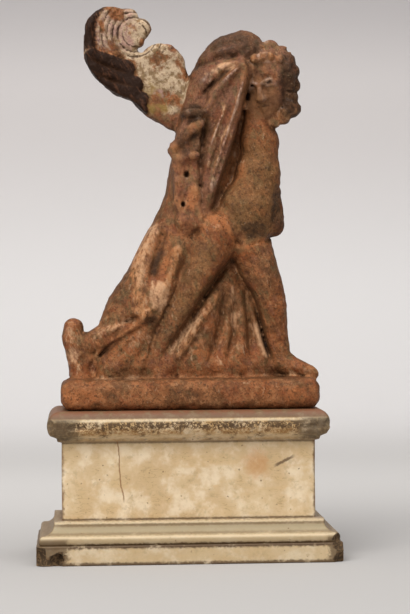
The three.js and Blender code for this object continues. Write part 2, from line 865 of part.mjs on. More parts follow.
// Places along a moulding's bulge, from its lower edge round to its upper edge: how far it stands
// back from its fullest point, and its height.
function bulge(startAngle, endAngle, depth, bottom, top, pieces) {
  const low = Math.sin(startAngle);
  const rise = Math.sin(endAngle) - low;
  return Array.from({ length: pieces + 1 }, (_, n) => {
    const angle = startAngle + (endAngle - startAngle) * n / pieces;
    const lift = (Math.sin(angle) - low) / rise;
    return [depth * (1 - Math.cos(angle)), bottom + (top - bottom) * lift];
  });
}

// The marble base: plinth, flared foot, plain die and rounded cornice
function makeBase() {
  const arris = 0.5;
  const plinth = [
    [footOverhang - arris, 0],
    [footOverhang, arris],
    [footOverhang, plinthHeight - arris],
    [footOverhang - arris, plinthHeight],
  ];
  const beadTop = plinthHeight + 0.39 * footHeight;
  const beadDepth = 0.12 * footOverhang;
  const beadReach = 0.9 * footOverhang;
  const bead = bulge(-0.9, 1.3, beadDepth, plinthHeight + 0.01 * footHeight, beadTop, 4)
    .map(([back, height]) => [beadReach - back, height]);
  const footTop = plinthHeight + footHeight;
  const ledge = 0.33 * footOverhang;
  const ledgeDrop = 0.04 * footHeight;
  const filletHeight = 0.09 * footHeight;
  const flareBottom = beadTop + 0.01 * footHeight;
  const flareTop = footTop - ledgeDrop - filletHeight;
  const flareDepth = beadReach - beadDepth - ledge;
  const flarePieces = 5;
  const flare = Array.from({ length: flarePieces + 1 }, (_, n) => {
    const angle = n / flarePieces * Math.PI / 2;
    const height = flareBottom + (flareTop - flareBottom) * (1 - Math.cos(angle));
    return [ledge + flareDepth * (1 - Math.sin(angle)), height];
  });
  const fillet = [
    [ledge, footTop - ledgeDrop],
    [0, footTop],
  ];
  const dieTop = baseHeight - corniceHeight;
  const cornice = [
    [0.28 * corniceOverhang, dieTop + 0.04 * corniceHeight],
    [0.36 * corniceOverhang, dieTop + 0.14 * corniceHeight],
    [0.78 * corniceOverhang, dieTop + 0.24 * corniceHeight],
  ];
  const noseBottom = dieTop + 0.27 * corniceHeight;
  const noseDepth = 0.83 * corniceOverhang;
  const nose = bulge(-0.67, Math.PI / 2, noseDepth, noseBottom, baseHeight, 6)
    .map(([back, height]) => [corniceOverhang - back, height]);
  const profile = [...plinth, ...bead, ...flare, ...fillet, [0, dieTop], ...cornice, ...nose];
  const rings = profile.map(([out, height]) => ({
    halfLength: dieLength / 2 + out,
    halfDepth: dieDepth / 2 + out,
    radius: cornerRound,
    height,
  }));
  return stackRings(rings, 2);
}

// A rough lump that knocks a chip out of an edge
function makeChip(centre, size, turn) {
  const geometry = new THREE.IcosahedronGeometry(1, 1);
  geometry.scale(...size);
  geometry.rotateZ(turn);
  geometry.rotateX(turn * 0.6);
  geometry.translate(...centre);
  return toSolid(geometry);
}

function chippedBase() {
  const plinthX = dieLength / 2 + footOverhang;
  const plinthY = dieDepth / 2 + footOverhang;
  const noseX = dieLength / 2 + corniceOverhang;
  const noseY = dieDepth / 2 + corniceOverhang;
  const noseZ = baseHeight - 0.45 * corniceHeight;
  const beadZ = plinthHeight + 0.16 * footHeight;
  const chips = [
    [[-plinthX - 1, -plinthY - 1, 4], [6.5, 5, 8], 0.4],
    [[-plinthX + 9, -plinthY - 2.6, 1.5], [9, 4, 5], 0.9],
    [[plinthX + 0.4, -plinthY - 1, beadZ], [6.5, 6, 7], 1.3],
    [[plinthX + 1.5, -plinthY - 1, 1.5], [7.5, 5.5, 6], 0.2],
    [[-noseX - 1, -noseY - 1, noseZ], [5, 4, 5], 0.7],
    [[-noseX + 14, -noseY - 2.6, noseZ - 1], [10, 4, 3], 0.1],
    [[noseX + 0.5, -noseY - 1.5, noseZ], [7, 4.5, 4.5], 1.1],
    [[noseX - 15, -noseY - 2.6, noseZ - 2], [9, 4, 3], 0.3],
    [[plinthX + 1, plinthY + 1, beadZ - 1], [5, 5, 6], 0.8],
  ];
  return chips.reduce((solid, chip) => solid.subtract(makeChip(...chip)), toSolid(makeBase()));
}

function figureOnSlab() {
  const { vertices, triangles } = thinOut(meshForm(figure), trianglesKept);
  const placed = vertices.map(({ x, y, z }) => [
    x * stepSize,
    y * stepSize,
    slabThickness + (z - groundStepCount) * stepSize,
  ]);
  return toSolid(indexedGeometry(placed, triangles)).add(toSolid(makeSlab()));
}

const marble = new THREE.MeshStandardMaterial({ color: 0xd8cbb0, roughness: 0.5, metalness: 0 });
const terracotta = new THREE.MeshStandardMaterial({ color: 0x7d5140, roughness: 0.72, metalness: 0 });

const marbleBase = new THREE.Mesh(toGeometry(chippedBase()), marble);
marbleBase.name = 'marble_base';

const erosFigure = new THREE.Mesh(toGeometry(figureOnSlab()), terracotta);
erosFigure.name = 'eros_figure';
erosFigure.position.set(figureOffset, 0, baseHeight);

const statuette = new THREE.Group();
statuette.add(marbleBase, erosFigure);

export default statuette;
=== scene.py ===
import math

import bpy
import numpy as np
from mathutils import Matrix, Vector


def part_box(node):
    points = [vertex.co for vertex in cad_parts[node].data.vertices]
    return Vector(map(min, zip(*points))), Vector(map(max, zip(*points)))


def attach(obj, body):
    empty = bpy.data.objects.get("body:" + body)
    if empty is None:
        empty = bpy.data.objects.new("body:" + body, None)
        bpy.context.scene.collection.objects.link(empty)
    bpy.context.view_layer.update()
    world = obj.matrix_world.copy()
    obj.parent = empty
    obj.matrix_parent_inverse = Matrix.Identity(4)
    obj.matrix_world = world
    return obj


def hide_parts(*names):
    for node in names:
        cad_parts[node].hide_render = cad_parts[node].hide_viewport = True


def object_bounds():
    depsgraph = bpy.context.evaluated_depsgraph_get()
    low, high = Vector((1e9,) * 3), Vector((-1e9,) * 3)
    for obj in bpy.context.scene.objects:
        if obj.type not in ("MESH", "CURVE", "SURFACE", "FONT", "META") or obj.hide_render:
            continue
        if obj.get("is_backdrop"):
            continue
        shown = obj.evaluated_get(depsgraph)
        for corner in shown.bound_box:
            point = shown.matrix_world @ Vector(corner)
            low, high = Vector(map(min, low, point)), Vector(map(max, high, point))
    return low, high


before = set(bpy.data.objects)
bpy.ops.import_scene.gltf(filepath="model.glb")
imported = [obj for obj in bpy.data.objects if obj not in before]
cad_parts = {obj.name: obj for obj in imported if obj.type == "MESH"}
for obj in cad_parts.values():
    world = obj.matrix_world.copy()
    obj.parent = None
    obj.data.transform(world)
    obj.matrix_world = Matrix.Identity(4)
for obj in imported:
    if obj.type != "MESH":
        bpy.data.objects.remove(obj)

cad_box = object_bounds()
MM = 0.001

# Sizes of the real object in millimetres, the same as the solids
DIE_LENGTH = 136.4
DIE_DEPTH = 52.0
BASE_HEIGHT = 81.0
CORNICE_HEIGHT = 16.8
CORNICE_OVERHANG = 7.7
PLINTH_HEIGHT = 10.4
FOOT_HEIGHT = 12.2
FOOT_OVERHANG = 13.7
CORNER_ROUND = 1.6
FOOT_TOP = PLINTH_HEIGHT + FOOT_HEIGHT
DIE_TOP = BASE_HEIGHT - CORNICE_HEIGHT
SLAB_LENGTH = 140.0
SLAB_DEPTH = 55.0
SLAB_THICKNESS = 16.5
SLAB_CORNER_RADIUS = 7.5
SLAB_EDGE_RADIUS = 6.2
FIGURE_RISE = 205.7
FIGURE_OFFSET = 1.6

# The figure is laid out in steps: across and to the back from its middle, up from the slab's underside.
RISE_STEPS = 374.0
STEP = FIGURE_RISE / RISE_STEPS
CELL = 1.9
FAR = 999.0


def ease(value, low, high):
    t = np.clip((value - low) / (high - low), 0.0, 1.0)
    return t * t * (3.0 - 2.0 * t)


def blend(a, b, width):
    h = np.maximum(width - np.abs(a - b), 0.0) / width
    return np.minimum(a, b) - h * h * width * 0.25


def carve(a, b, width):
    return -blend(-a, b, width)


def rounded(a, b):
    """How far a place lies past two edges that meet at a round corner."""
    return np.hypot(np.maximum(a, 0), np.maximum(b, 0)) + np.minimum(np.maximum(a, b), 0)


def bend(knots, pieces=4):
    """A smooth curve through knots that hold any number of values."""
    given = np.array(knots, float)
    if len(given) < 3:
        return given
    around = np.vstack([2 * given[0] - given[1], given, 2 * given[-1] - given[-2]])
    line = []
    for a, b, c, d in zip(around, around[1:], around[2:], around[3:]):
        for t in np.arange(pieces) / pieces:
            square = (2 * a - 5 * b + 4 * c - d) * t * t
            cube = (3 * b - a - 3 * c + d) * t * t * t
            line.append(0.5 * (2 * b + (c - a) * t + square + cube))
    line.append(given[-1])
    return np.array(line)


class Grain:
    """Smooth repeatable noise in space, about -1 to 1."""

    SIDE = 32

    def __init__(self, seed):
        self.table = np.random.default_rng(seed).uniform(-1.0, 1.0, (self.SIDE,) * 3)

    def at(self, x, y, z, size):
        places = [np.asarray(v, float) / size for v in (x, y, z)]
        cells = [np.floor(v).astype(int) for v in places]
        parts = [v - c for v, c in zip(places, cells)]
        parts = [t * t * (3.0 - 2.0 * t) for t in parts]
        total = 0.0
        for n in range(8):
            offset = (n & 1, n >> 1 & 1, n >> 2 & 1)
            weight = 1.0
            for t, o in zip(parts, offset):
                weight = weight * (t if o else 1.0 - t)
            index = tuple((c + o) % self.SIDE for c, o in zip(cells, offset))
            total = total + weight * self.table[index]
        return total

    def rough(self, x, y, z, size, octaves=3):
        return sum(self.at(x, y, z, size / 2 ** n) / 2 ** n for n in range(octaves))


clay_grain = Grain(7)
wear_grain = Grain(19)


class Cloud:
    """Points in space with the box that holds them, so that far forms can be skipped."""

    def __init__(self, x, y, z):
        self.x, self.y, self.z = x, y, z
        self.low = np.array([x.min(), y.min(), z.min()])
        self.high = np.array([x.max(), y.max(), z.max()])

    def near(self, low, high, margin=16.0):
        return np.all(self.low - margin < high) and np.all(self.high + margin > low)


# Forms: each maker returns a function that gives the distance of points from the form's skin.
def ball(centre, radii):
    low = np.subtract(centre, radii)
    high = np.add(centre, radii)

    def form(at):
        if not at.near(low, high):
            return FAR
        a = (at.x - centre[0]) / radii[0]
        b = (at.y - centre[1]) / radii[1]
        c = (at.z - centre[2]) / radii[2]
        reach = np.sqrt(a * a + b * b + c * c) + 1e-9
        slope = np.sqrt((a / radii[0]) ** 2 + (b / radii[1]) ** 2 + (c / radii[2]) ** 2)
        return reach * (reach - 1.0) / (slope + 1e-9)

    return form


def roll(*knots):
    """A round limb or roll of cloth along knots of place and radius."""
    line = bend(knots)

    def form(at):
        nearest = FAR
        for a, b in zip(line, line[1:]):
            radius = max(a[3], b[3])
            if not at.near(np.minimum(a, b)[:3] - radius, np.maximum(a, b)[:3] + radius):
                continue
            dx, dy, dz = b[:3] - a[:3]
            x, y, z = at.x - a[0], at.y - a[1], at.z - a[2]
            t = np.clip((x * dx + y * dy + z * dz) / (dx * dx + dy * dy + dz * dz), 0.0, 1.0)
            gap = (x - t * dx) ** 2 + (y - t * dy) ** 2 + (z - t * dz) ** 2
            nearest = np.minimum(nearest, np.sqrt(gap) - (a[3] + (b[3] - a[3]) * t))
        return nearest

    return form


def strip(*knots):
    """The same in the plane of the front, for flat things: knots of x, z and half width."""
    line = bend(knots)

    def outline(x, z):
        nearest = FAR
        for a, b in zip(line, line[1:]):
            dx, dz = b[0] - a[0], b[1] - a[1]
            t = np.clip(((x - a[0]) * dx + (z - a[1]) * dz) / (dx * dx + dz * dz), 0.0, 1.0)
            gap = (x - a[0] - t * dx) ** 2 + (z - a[1] - t * dz) ** 2
            nearest = np.minimum(nearest, np.sqrt(gap) - (a[2] + (b[2] - a[2]) * t))
        return nearest

    return outline


def plate(outline, y, middle, half, rounding):
    """A flat outline given a thickness, with rounded edges."""
    return rounded(outline + rounding, np.abs(y - middle) - half + rounding) - rounding


def groove(width, *points):
    """A carved line seen from the front: 1 on it, fading to both sides and towards its ends."""
    line = bend(points)
    lengths = np.hypot(*np.diff(line, axis=0).T)
    starts = np.concatenate([[0.0], np.cumsum(lengths)[:-1]])
    end_share, end_strength = 0.15, 0.25
    low, high = line.min(0) - 3.0 * width, line.max(0) + 3.0 * width

    def form(x, z):
        if x.min() > high[0] or x.max() < low[0] or z.min() > high[1] or z.max() < low[1]:
            return 0.0
        nearest = np.full(x.shape, 1e9)
        along = np.zeros(x.shape)
        for a, b, start, length in zip(line, line[1:], starts, lengths):
            dx, dz = b - a
            t = np.clip(((x - a[0]) * dx + (z - a[1]) * dz) / (length * length), 0.0, 1.0)
            gap = (x - a[0] - t * dx) ** 2 + (z - a[1] - t * dz) ** 2
            closer = gap < nearest
            nearest = np.where(closer, gap, nearest)
            along = np.where(closer, start + t * length, along)
        share = along / lengths.sum()
        taper = np.clip(np.minimum(share, 1.0 - share) / end_share, 0.0, 1.0)
        return np.exp(-nearest / width ** 2) * (end_strength + (1.0 - end_strength) * taper)

    return form


def carving(*lines):
    """Carved lines added up: rows of height, width and points."""
    made = [(height, groove(width, *points)) for height, width, *points in lines]
    return lambda x, z: sum(height * line(x, z) for height, line in made)


def union(softness, *forms):
    """Several forms as one, all joined with the same softness."""
    def form(at):
        nearest = FAR
        for each in forms:
            nearest = blend(nearest, each(at), softness)
        return nearest

    return form


def join(skin, at, *forms):
    """A skin with forms joined onto it one after the other, each with its own softness."""
    for form, softness in forms:
        skin = blend(skin, form(at), softness)
    return skin


# The cloak that falls from the head over the back to the ground
cloak = roll(
    (57.5, 4, 353, 22.5), (43, 5, 343, 26.5), (31, 6, 324, 28), (22, 6, 292, 28), (16, 6, 262, 29),
    (12, 6, 232, 30), (6, 5, 200, 31), (-9, 4, 157, 33), (-28, 3, 120, 35), (-50, 2, 86, 35),
    (-60, 2, 52, 34),
)
cloak_back = roll(
    (64, 14, 330, 19), (62, 20, 290, 20), (56, 23, 240, 22), (44, 22, 190, 27), (28, 16, 130, 34),
    (8, 10, 80, 37), (0, 8, 46, 37),
)
cloak_foot = roll((-60, 2, 40, 30), (0, 6, 40, 34), (56, 8, 40, 30), (78, 8, 40, 22))
trailing_cloth = union(
    4,
    roll((-36, -16, 88, 12), (-60, -16, 78, 13), (-84, -13, 70, 13), (-100, -8, 64, 12)),
    roll((-44, -16, 72, 11), (-62, -18, 54, 13), (-78, -16, 36, 14)),
    roll((-98, 0, 48, 16), (-70, 2, 46, 26)),
)
raised_heel = roll((-114, -4, 80, 10), (-115, -5, 68, 10.5), (-111, -7, 52, 10), (-107, -8, 32, 12))
cuff_ribs = [
    (1.6, 2.6, (-56 - 3.5 * i, 132 - 8 * i), (-64 - 3.5 * i, 131 - 8 * i), (-74 - 3.5 * i, 124 - 8 * i))
    for i in range(6)
]
cloak_folds = carving(
    (5, 8, (-28, 188), (-46, 150), (-50, 114), (-46, 92)),
    (-5, 5, (-22, 176), (-32, 146), (-38, 124)),
    (4, 9, (-9, 168), (-18, 132), (-30, 108), (-34, 96)),
    (-4, 5, (-6, 146), (-14, 112), (-26, 84), (-34, 60)),
    (5, 5, (-56, 96), (-46, 92), (-36, 87)),
    (-3.5, 4, (-46, 96), (-68, 78), (-88, 52)),
    *cuff_ribs,
)
back_folds = carving(
    (4, 9, (40, 350), (24, 260), (6, 150), (-20, 50)),
    (-3, 6, (54, 350), (44, 260), (28, 150), (14, 50)),
    (3.5, 8, (64, 330), (60, 240), (52, 150), (46, 50)),
    (-3, 6, (24, 330), (2, 240), (-28, 150), (-62, 60)),
)
fine_cloak_folds = carving(
    (-1.4, 2.2, (-14, 176), (-22, 150), (-26, 128)),
    (1.2, 2.4, (-38, 176), (-54, 144), (-62, 122)),
    (-1.2, 2.0, (-34, 170), (-44, 140), (-46, 112)),
    (1.3, 2.2, (-10, 130), (-22, 104), (-32, 84)),
    (-1.6, 1.8, (-50, 90), (-58, 88), (-70, 84)),
    (1.2, 2.0, (-58, 86), (-78, 78), (-96, 72)),
    (-1.3, 1.8, (-54, 70), (-66, 58), (-76, 44)),
    (-1.1, 1.6, (-92, 60), (-96, 48), (-98, 36)),
    (-1.5, 2.0, (-37, 87), (-68, 69), (-90, 53)),
    (1.4, 2.4, (-50, 84), (-76, 68), (-98, 48)),
    (-2.4, 2.6, (-42, 91), (-39, 88), (-36, 85)),
    (1.5, 2.2, (-30, 100), (-38, 98), (-46, 92), (-48, 84)),
    (1.2, 1.8, (-40, 62), (-46, 48), (-48, 36)),
)

# Pleats that fan out between the legs
pleats = union(3, *(
    roll((top, -4 + i, 127 - i, 9), (foot, -12 + 2 * i, low, radius))
    for i, (top, foot, radius, low) in enumerate((
        (38, -18, 17, 42), (43, 8, 16, 36), (47, 30, 14, 34), (52, 50, 13, 34), (60, 70, 13, 34),
    ))
))
pleat_lines = carving(
    (-8, 4.5, (40, 146), (14, 110), (-8, 76), (-27, 50)),
    (4, 5, (34, 120), (14, 90), (-6, 62), (-20, 44)),
    (-4, 3.5, (38, 120), (30, 86), (20, 46)),
    (3, 4.5, (43, 124), (40, 90), (34, 50)),
    (-3.5, 3.5, (47, 110), (44, 76), (36, 42)),
    (3, 4.5, (50, 118), (53, 86), (52, 50)),
    (-3, 3.5, (55, 112), (60, 80), (62, 44)),
    (3, 4, (61, 96), (70, 68), (77, 46)),
    (-3.5, 3, (58, 122), (68, 94), (75, 66), (84, 42)),
)
fine_pleat_lines = carving(
    (-1.4, 1.8, (24, 98), (8, 72), (-6, 48)),
    (-1.3, 1.6, (34, 92), (26, 64), (18, 44)),
    (1.2, 1.6, (47, 100), (48, 74), (46, 50)),
    (-1.2, 1.5, (57, 96), (64, 72), (70, 50)),
)

# Body
torso = union(
    12,
    ball((73, -3, 262), (18, 16, 22)),
    ball((70, -6, 230), (23, 19, 26)),
    ball((59, -12, 198), (28, 22, 27)),
    ball((53, -7, 176), (33, 21, 18)),
    roll((70, -3, 266, 13), (69, -6, 300, 12)),
)
front_leg = union(
    6,
    roll((62, -8, 158, 21.5), (79, -12, 112, 16.5), (85, -11, 78, 13.5), (90, -8, 48, 11.5)),
    roll((91, -6, 45, 11), (108, -14, 38, 9.5), (121.5, -18, 33.5, 6.5)),
    ball((84, -18, 100), (9, 8, 10)),
)
rear_leg = roll(
    (28, -12, 172, 25), (12, -16, 132, 22), (-8, -18, 92, 18), (-26, -16, 54, 17), (-30, -12, 32, 20),
)
far_arm = union(
    8,
    roll((79, 6, 270, 11), (79, 11, 232, 10), (83, 5, 205, 9)),
    ball((86, -3, 213), (7, 8, 8)),
    ball((86, -7, 197), (9, 10, 10)),
    ball((87, -7, 181), (9, 11, 11)),
)
groin = carving(
    (2.6, 2.5, (32, 181), (42, 169), (51, 161)),
    (2.6, 2.5, (84, 170), (72, 163), (60, 160)),
)
body_lines = carving(
    (1.5, 1.6, (57, 195), (58, 192)),
    (0.9, 4.0, (54, 258), (66, 240), (68, 214)),
    (-1.0, 5.0, (60, 250), (64, 238)),
    (-1.0, 5.0, (78, 252), (80, 240)),
    (0.8, 2.0, (38, 214), (50, 208), (62, 212), (78, 206)),
    (1.0, 1.6, (100, 36), (108, 33), (114, 30)),
    (1.2, 1.4, (112, 42), (120, 35), (124, 30)),
)

# Cloth that hangs from the edge of the hood, and the folds that spread from the brow
hanging_cloth = strip(
    (52, 332, 12), (41, 318, 18), (33, 292, 19), (28, 262, 15), (21, 230, 11), (16, 200, 7), (14, 182, 4),
)
hood_folds = carving(
    (-4, 3.5, (2, 337), (28, 345), (53, 348)),
    (2.5, 5, (14, 345), (34, 354), (52, 356)),
    (2, 4, (22, 358), (40, 366), (58, 366)),
    (-3, 3.5, (52, 342), (32, 326), (14, 298)),
    (3, 6, (50, 346), (28, 334), (6, 316)),
    (-3, 3.5, (53, 336), (38, 308), (20, 272)),
    (3, 5, (52, 338), (35, 318), (14, 288)),
    (3.5, 4, (54, 334), (44, 310), (30, 276), (20, 246), (14, 222)),
    (-2.5, 3, (52, 330), (40, 296), (28, 262), (20, 226)),
    (3.5, 4, (54, 326), (48, 300), (38, 270), (26, 232), (18, 200)),
    (-2.5, 3, (38, 320), (20, 288), (12, 262)),
)
fine_hood_folds = carving(
    (-1.2, 1.8, (20, 352), (38, 360), (56, 362)),
    (-1.4, 1.8, (52, 350), (36, 342), (20, 336)),
    (1.2, 2.0, (54, 340), (38, 326), (18, 306)),
    (-1.3, 1.6, (54, 332), (46, 306), (36, 276), (24, 240)),
    (1.0, 1.8, (50, 322), (38, 300), (26, 270), (16, 240)),
    (1.3, 2.0, (56, 330), (50, 300), (43, 270), (32, 236), (24, 212)),
    (-1.4, 1.7, (55, 320), (46, 286), (34, 250), (24, 222)),
    (-1.3, 1.7, (46, 318), (32, 280), (20, 250), (13, 230)),
    (-1.2, 1.8, (50, 340), (26, 322), (8, 300)),
)

# The break where the near wing is lost, with its broken rod, hollows and two dowel holes
break_patch = strip((4, 282, 10), (-1, 258, 13), (-2, 232, 13), (-1, 204, 13), (1, 186, 13))
break_lumps = union(
    3,
    roll((11, -34, 281, 5), (-13, -24, 256, 7)),
    roll((-13, -25, 248, 3.5), (6, -33, 249, 4)),
    ball((4, -28, 290), (12, 9, 6)),
    ball((-2, -26, 185), (11, 9, 11)),
)
break_hollows = union(
    3,
    ball((-9, -38, 254), (6, 9, 7)),
    ball((5, -38, 262), (6, 8, 8)),
    roll((-2, -36, 238, 7), (-1, -36, 196, 6)),
)
dowel_holes = union(1, ball((-2, -33, 230), (2.4, 14, 3.8)), ball((-6, -33, 201), (2.4, 14, 3.0)))


def near_wing_break(at):
    patch = plate(break_patch(at.x, at.z), at.y, middle=-18.0, half=14.0, rounding=5.0)
    lumpy = blend(patch, break_lumps(at), 3.0)
    rough = 1.3 * clay_grain.rough(at.x, at.y, at.z, 6.0)
    hollowed = carve(lumpy + rough, break_hollows(at), 3.0)
    return carve(hollowed, dowel_holes(at), 1.0)


# The far wing: a feathered plate whose tip curls over, with coverts laid on its lower part
wing_root = strip((-10, 296, 16), (-18, 334, 19), (-25, 342, 22.5))
wing_arm = strip(
    (-6, 292, 17), (-26, 308, 21), (-44, 322, 19), (-62, 337, 25), (-76, 352, 25), (-73, 373, 28.5),
)
tip_feathers = [
    strip((-70, 388, 12), (-56, 391, 9)),
    strip((-64, 376, 14), (-44.5, 379, 10.5)),
    strip((-62, 368, 12), (-47.5, 367, 7)),
]
coverts = [
    strip((-92, 344, 13), (-60, 338, 9.5)),
    strip((-86, 328, 12), (-52, 322, 9.5)),
    strip((-72, 314, 10), (-46, 308, 8.5)),
    strip((-58, 304, 7), (-44, 297, 6)),
]
feather_lines = carving(*(
    (
        -1.1, 1.5,
        (-98 + 6 * row + 4 * n, 349 - 15 * row - 2 * n),
        (-74 + 6 * row + 6 * n, 339 - 14 * row - 2 * n),
    )
    for row in range(3) for n in range(4)
))

# The ribs that run round the wing's curled tip
CURL_CENTRE = (-51, 373)
RIB_REACH = 36
RIB_SPACING = 5.4


def from_curl(x, z):
    return np.hypot(x - CURL_CENTRE[0], z - CURL_CENTRE[1])


def curl_ribs(reach):
    waves = np.cos(2 * np.pi * (reach - RIB_REACH) / RIB_SPACING)
    return waves * ease(-reach, -RIB_REACH - 3, -RIB_REACH)


def wing_outline(x, z):
    outline = blend(wing_root(x, z), wing_arm(x, z), 4.0)
    for feather in tip_feathers:
        outline = blend(outline, feather(x, z), 1.2)
    return outline


def covert_layer(x, z):
    layer = FAR
    for feather in coverts:
        layer = blend(layer, feather(x, z), 1.5)
    return layer


def wing(at):
    if not at.near(np.array([-108, -10, 270]), np.array([8, 40, 404])):
        return FAR
    x, y, z = at.x, at.y, at.z
    outline = wing_outline(x, z)
    middle = 14 + 8 * ease(-x, 0, 60) - 12 * ease(-x, 60, 110)
    body = plate(outline, y, middle, half=8.0, rounding=6.5)
    laid_outline = np.maximum(covert_layer(x, z), outline + 0.5)
    laid = plate(laid_outline, y, middle - 5, half=7.0, rounding=3.0)
    whole = np.minimum(body, laid)
    reach = from_curl(x, z)
    rim = np.exp(-((reach - 47) / 3) ** 2) - np.exp(-((reach - 40.5) / 2) ** 2)
    ribs = curl_ribs(reach) * ease(reach, 10, 18)
    in_tip = ease(CURL_CENTRE[0] - x, -22, 2) * ease(z, 345, 356) * ease(-outline, 0, 5)
    relief = (1.6 * rim + 1.5 * ribs) * in_tip + feather_lines(x, z) * ease(-outline, 1, 6)
    return whole - relief * (y < middle)


# Head: a plain calm child's face, in the head's own frame (across, out of the face, up)
HEAD_CENTRE = Vector((81, -3, 320))
HEAD_SCALE = 1.07
HEAD_REACH = 34
EYE_ACROSS = 8.5
EYE_HALF = 4.6
MOUTH_UP = -16.0
HEAD_TURN, HEAD_BOW, HEAD_LEAN = (math.radians(angle) for angle in (26, 14, -6))
face_out = Vector((
    -math.sin(HEAD_TURN) * math.cos(HEAD_BOW),
    -math.cos(HEAD_TURN) * math.cos(HEAD_BOW),
    -math.sin(HEAD_BOW),
))
face_side = Vector((math.cos(HEAD_TURN), -math.sin(HEAD_TURN), 0))
lean = Matrix.Rotation(-HEAD_LEAN, 3, face_out)
leaned_side = lean @ face_side
leaned_up = lean @ face_out.cross(face_side)

skull = union(
    8,
    ball((0, -3, 6), (23, 24, 26)),
    ball((0, 6, -10), (17.5, 17, 17)),
    ball((0, 14, -24), (7.5, 7.5, 6.5)),
)
cheek = ball((9, 13, -9), (7, 7, 8))
eye_socket = ball((EYE_ACROSS, 26, 1.5), (6.5, 6.5, 5))
eye = ball((EYE_ACROSS, 17.2, 0.3), (EYE_HALF, 4.2, 3.5))
upper_lid = roll((4.6, 20.6, 1.0, 0.7), (8.5, 21.8, 3.0, 0.8), (12.6, 19.0, 1.2, 0.7))
lower_lid = roll((4.8, 20.4, 0.0, 0.6), (8.5, 21.0, -2.2, 0.6), (12.4, 19.0, 0.0, 0.6))
brow = roll((3, 22.6, 5.5, 1.2), (9, 21.8, 7.6, 1.4), (15, 17.5, 5.5, 1.0))
nose = roll((0, 21.5, 3, 2.2), (0, 26, -8, 3.4))
nostril = ball((3.2, 23.4, -8.8), (2.5, 2.8, 2.2))
lips = union(
    1,
    roll((0, 22.4, -13.8, 1.9), (5.2, 19.8, -14.8, 1.1)),
    roll((0, 21.8, -18.2, 2.2), (4.2, 19.8, -17.6, 1.2)),
)
hair_cap = ball((1, -4, 8), (25.5, 26, 27))
face_opening = ball((0, 30, -10), (19, 26, 26))
CURLS = (
    (74, -8, 355, 7.5), (84, -6, 357, 8), (93, -4, 354, 7), (101, -8, 345, 7.5), (106, -6, 334, 7),
    (107, -6, 320, 7), (104, -10, 308, 6.5), (104, -10, 296, 8.5), (96, -12, 288, 7.5), (87, -12, 283, 6),
    (60, -18, 336, 6), (56, -18, 325, 5.5), (54, -16, 313, 5), (55, -14, 301, 5), (66, -25, 344, 5),
    (74, -27, 346, 5), (82, -27, 346, 5), (90, -25, 344, 5), (97, -21, 337, 5), (101, -18, 328, 5),
    (102, -16, 318, 4.8), (101, -16, 309, 4.8), (99, -15, 300, 4.8), (95, -16, 292, 4.6),
)


def curl_lock(x, y, z, radius):
    """A rounded lock of hair with a snail-shell line carved into its front."""
    lump = ball((x, y, z), (radius, 0.9 * radius, radius))

    def form(at):
        if not at.near(np.array([x, y, z]) - radius, np.array([x, y, z]) + radius):
            return FAR
        across, up = at.x - x, at.z - z
        swirl = np.cos(np.arctan2(up, across) + 2 * np.pi * np.hypot(across, up) / (0.62 * radius))
        return lump(at) - 1.0 * swirl * ease(y - at.y, -0.2 * radius, 0.5 * radius)

    return form


locks = union(2.5, *(curl_lock(*curl) for curl in CURLS))


def in_head_frame(x, y, z):
    offset = [(v - c) / HEAD_SCALE for v, c in zip((x, y, z), HEAD_CENTRE)]
    directions = (leaned_side, face_out, leaned_up)
    return [sum(v * d for v, d in zip(offset, direction)) for direction in directions]


def head(at):
    middle = np.array(HEAD_CENTRE)
    if not at.near(middle - HEAD_REACH, middle + HEAD_REACH, margin=20.0):
        return FAR
    across, out, up = in_head_frame(at.x, at.y, at.z)
    whole = Cloud(across, out, up)
    half = Cloud(np.abs(across), out, up)
    face = join(skull(whole), half, (cheek, 5.0))
    face = carve(face, eye_socket(half), 3.0)
    lids = (upper_lid, 1.0), (lower_lid, 1.0)
    face = join(face, half, (eye, 1.5), *lids, (brow, 2.5), (nostril, 1.5), (lips, 1.2))
    face = join(face, whole, (nose, 2.5))
    hair = carve(hair_cap(whole), face_opening(whole), 4.0) * HEAD_SCALE
    hair = hair + 1.2 * clay_grain.rough(at.x, at.y, at.z, 6.0)
    return blend(face * HEAD_SCALE, blend(hair, locks(at), 5.0), 2.0)


def slab(at):
    edge = SLAB_EDGE_RADIUS / STEP
    corner = SLAB_CORNER_RADIUS / STEP
    thickness = SLAB_THICKNESS / STEP
    x = np.abs(at.x) - (SLAB_LENGTH / 2 / STEP - corner)
    y = np.abs(at.y) - (SLAB_DEPTH / 2 / STEP - corner)
    plan = rounded(x, y) - corner + edge
    height = np.abs(at.z - thickness / 2) - thickness / 2 + edge
    return rounded(plan, height) - edge


def bare_body(at):
    return join(torso(at), at, (rear_leg, 5.0), (front_leg, 6.0), (far_arm, 4.0))


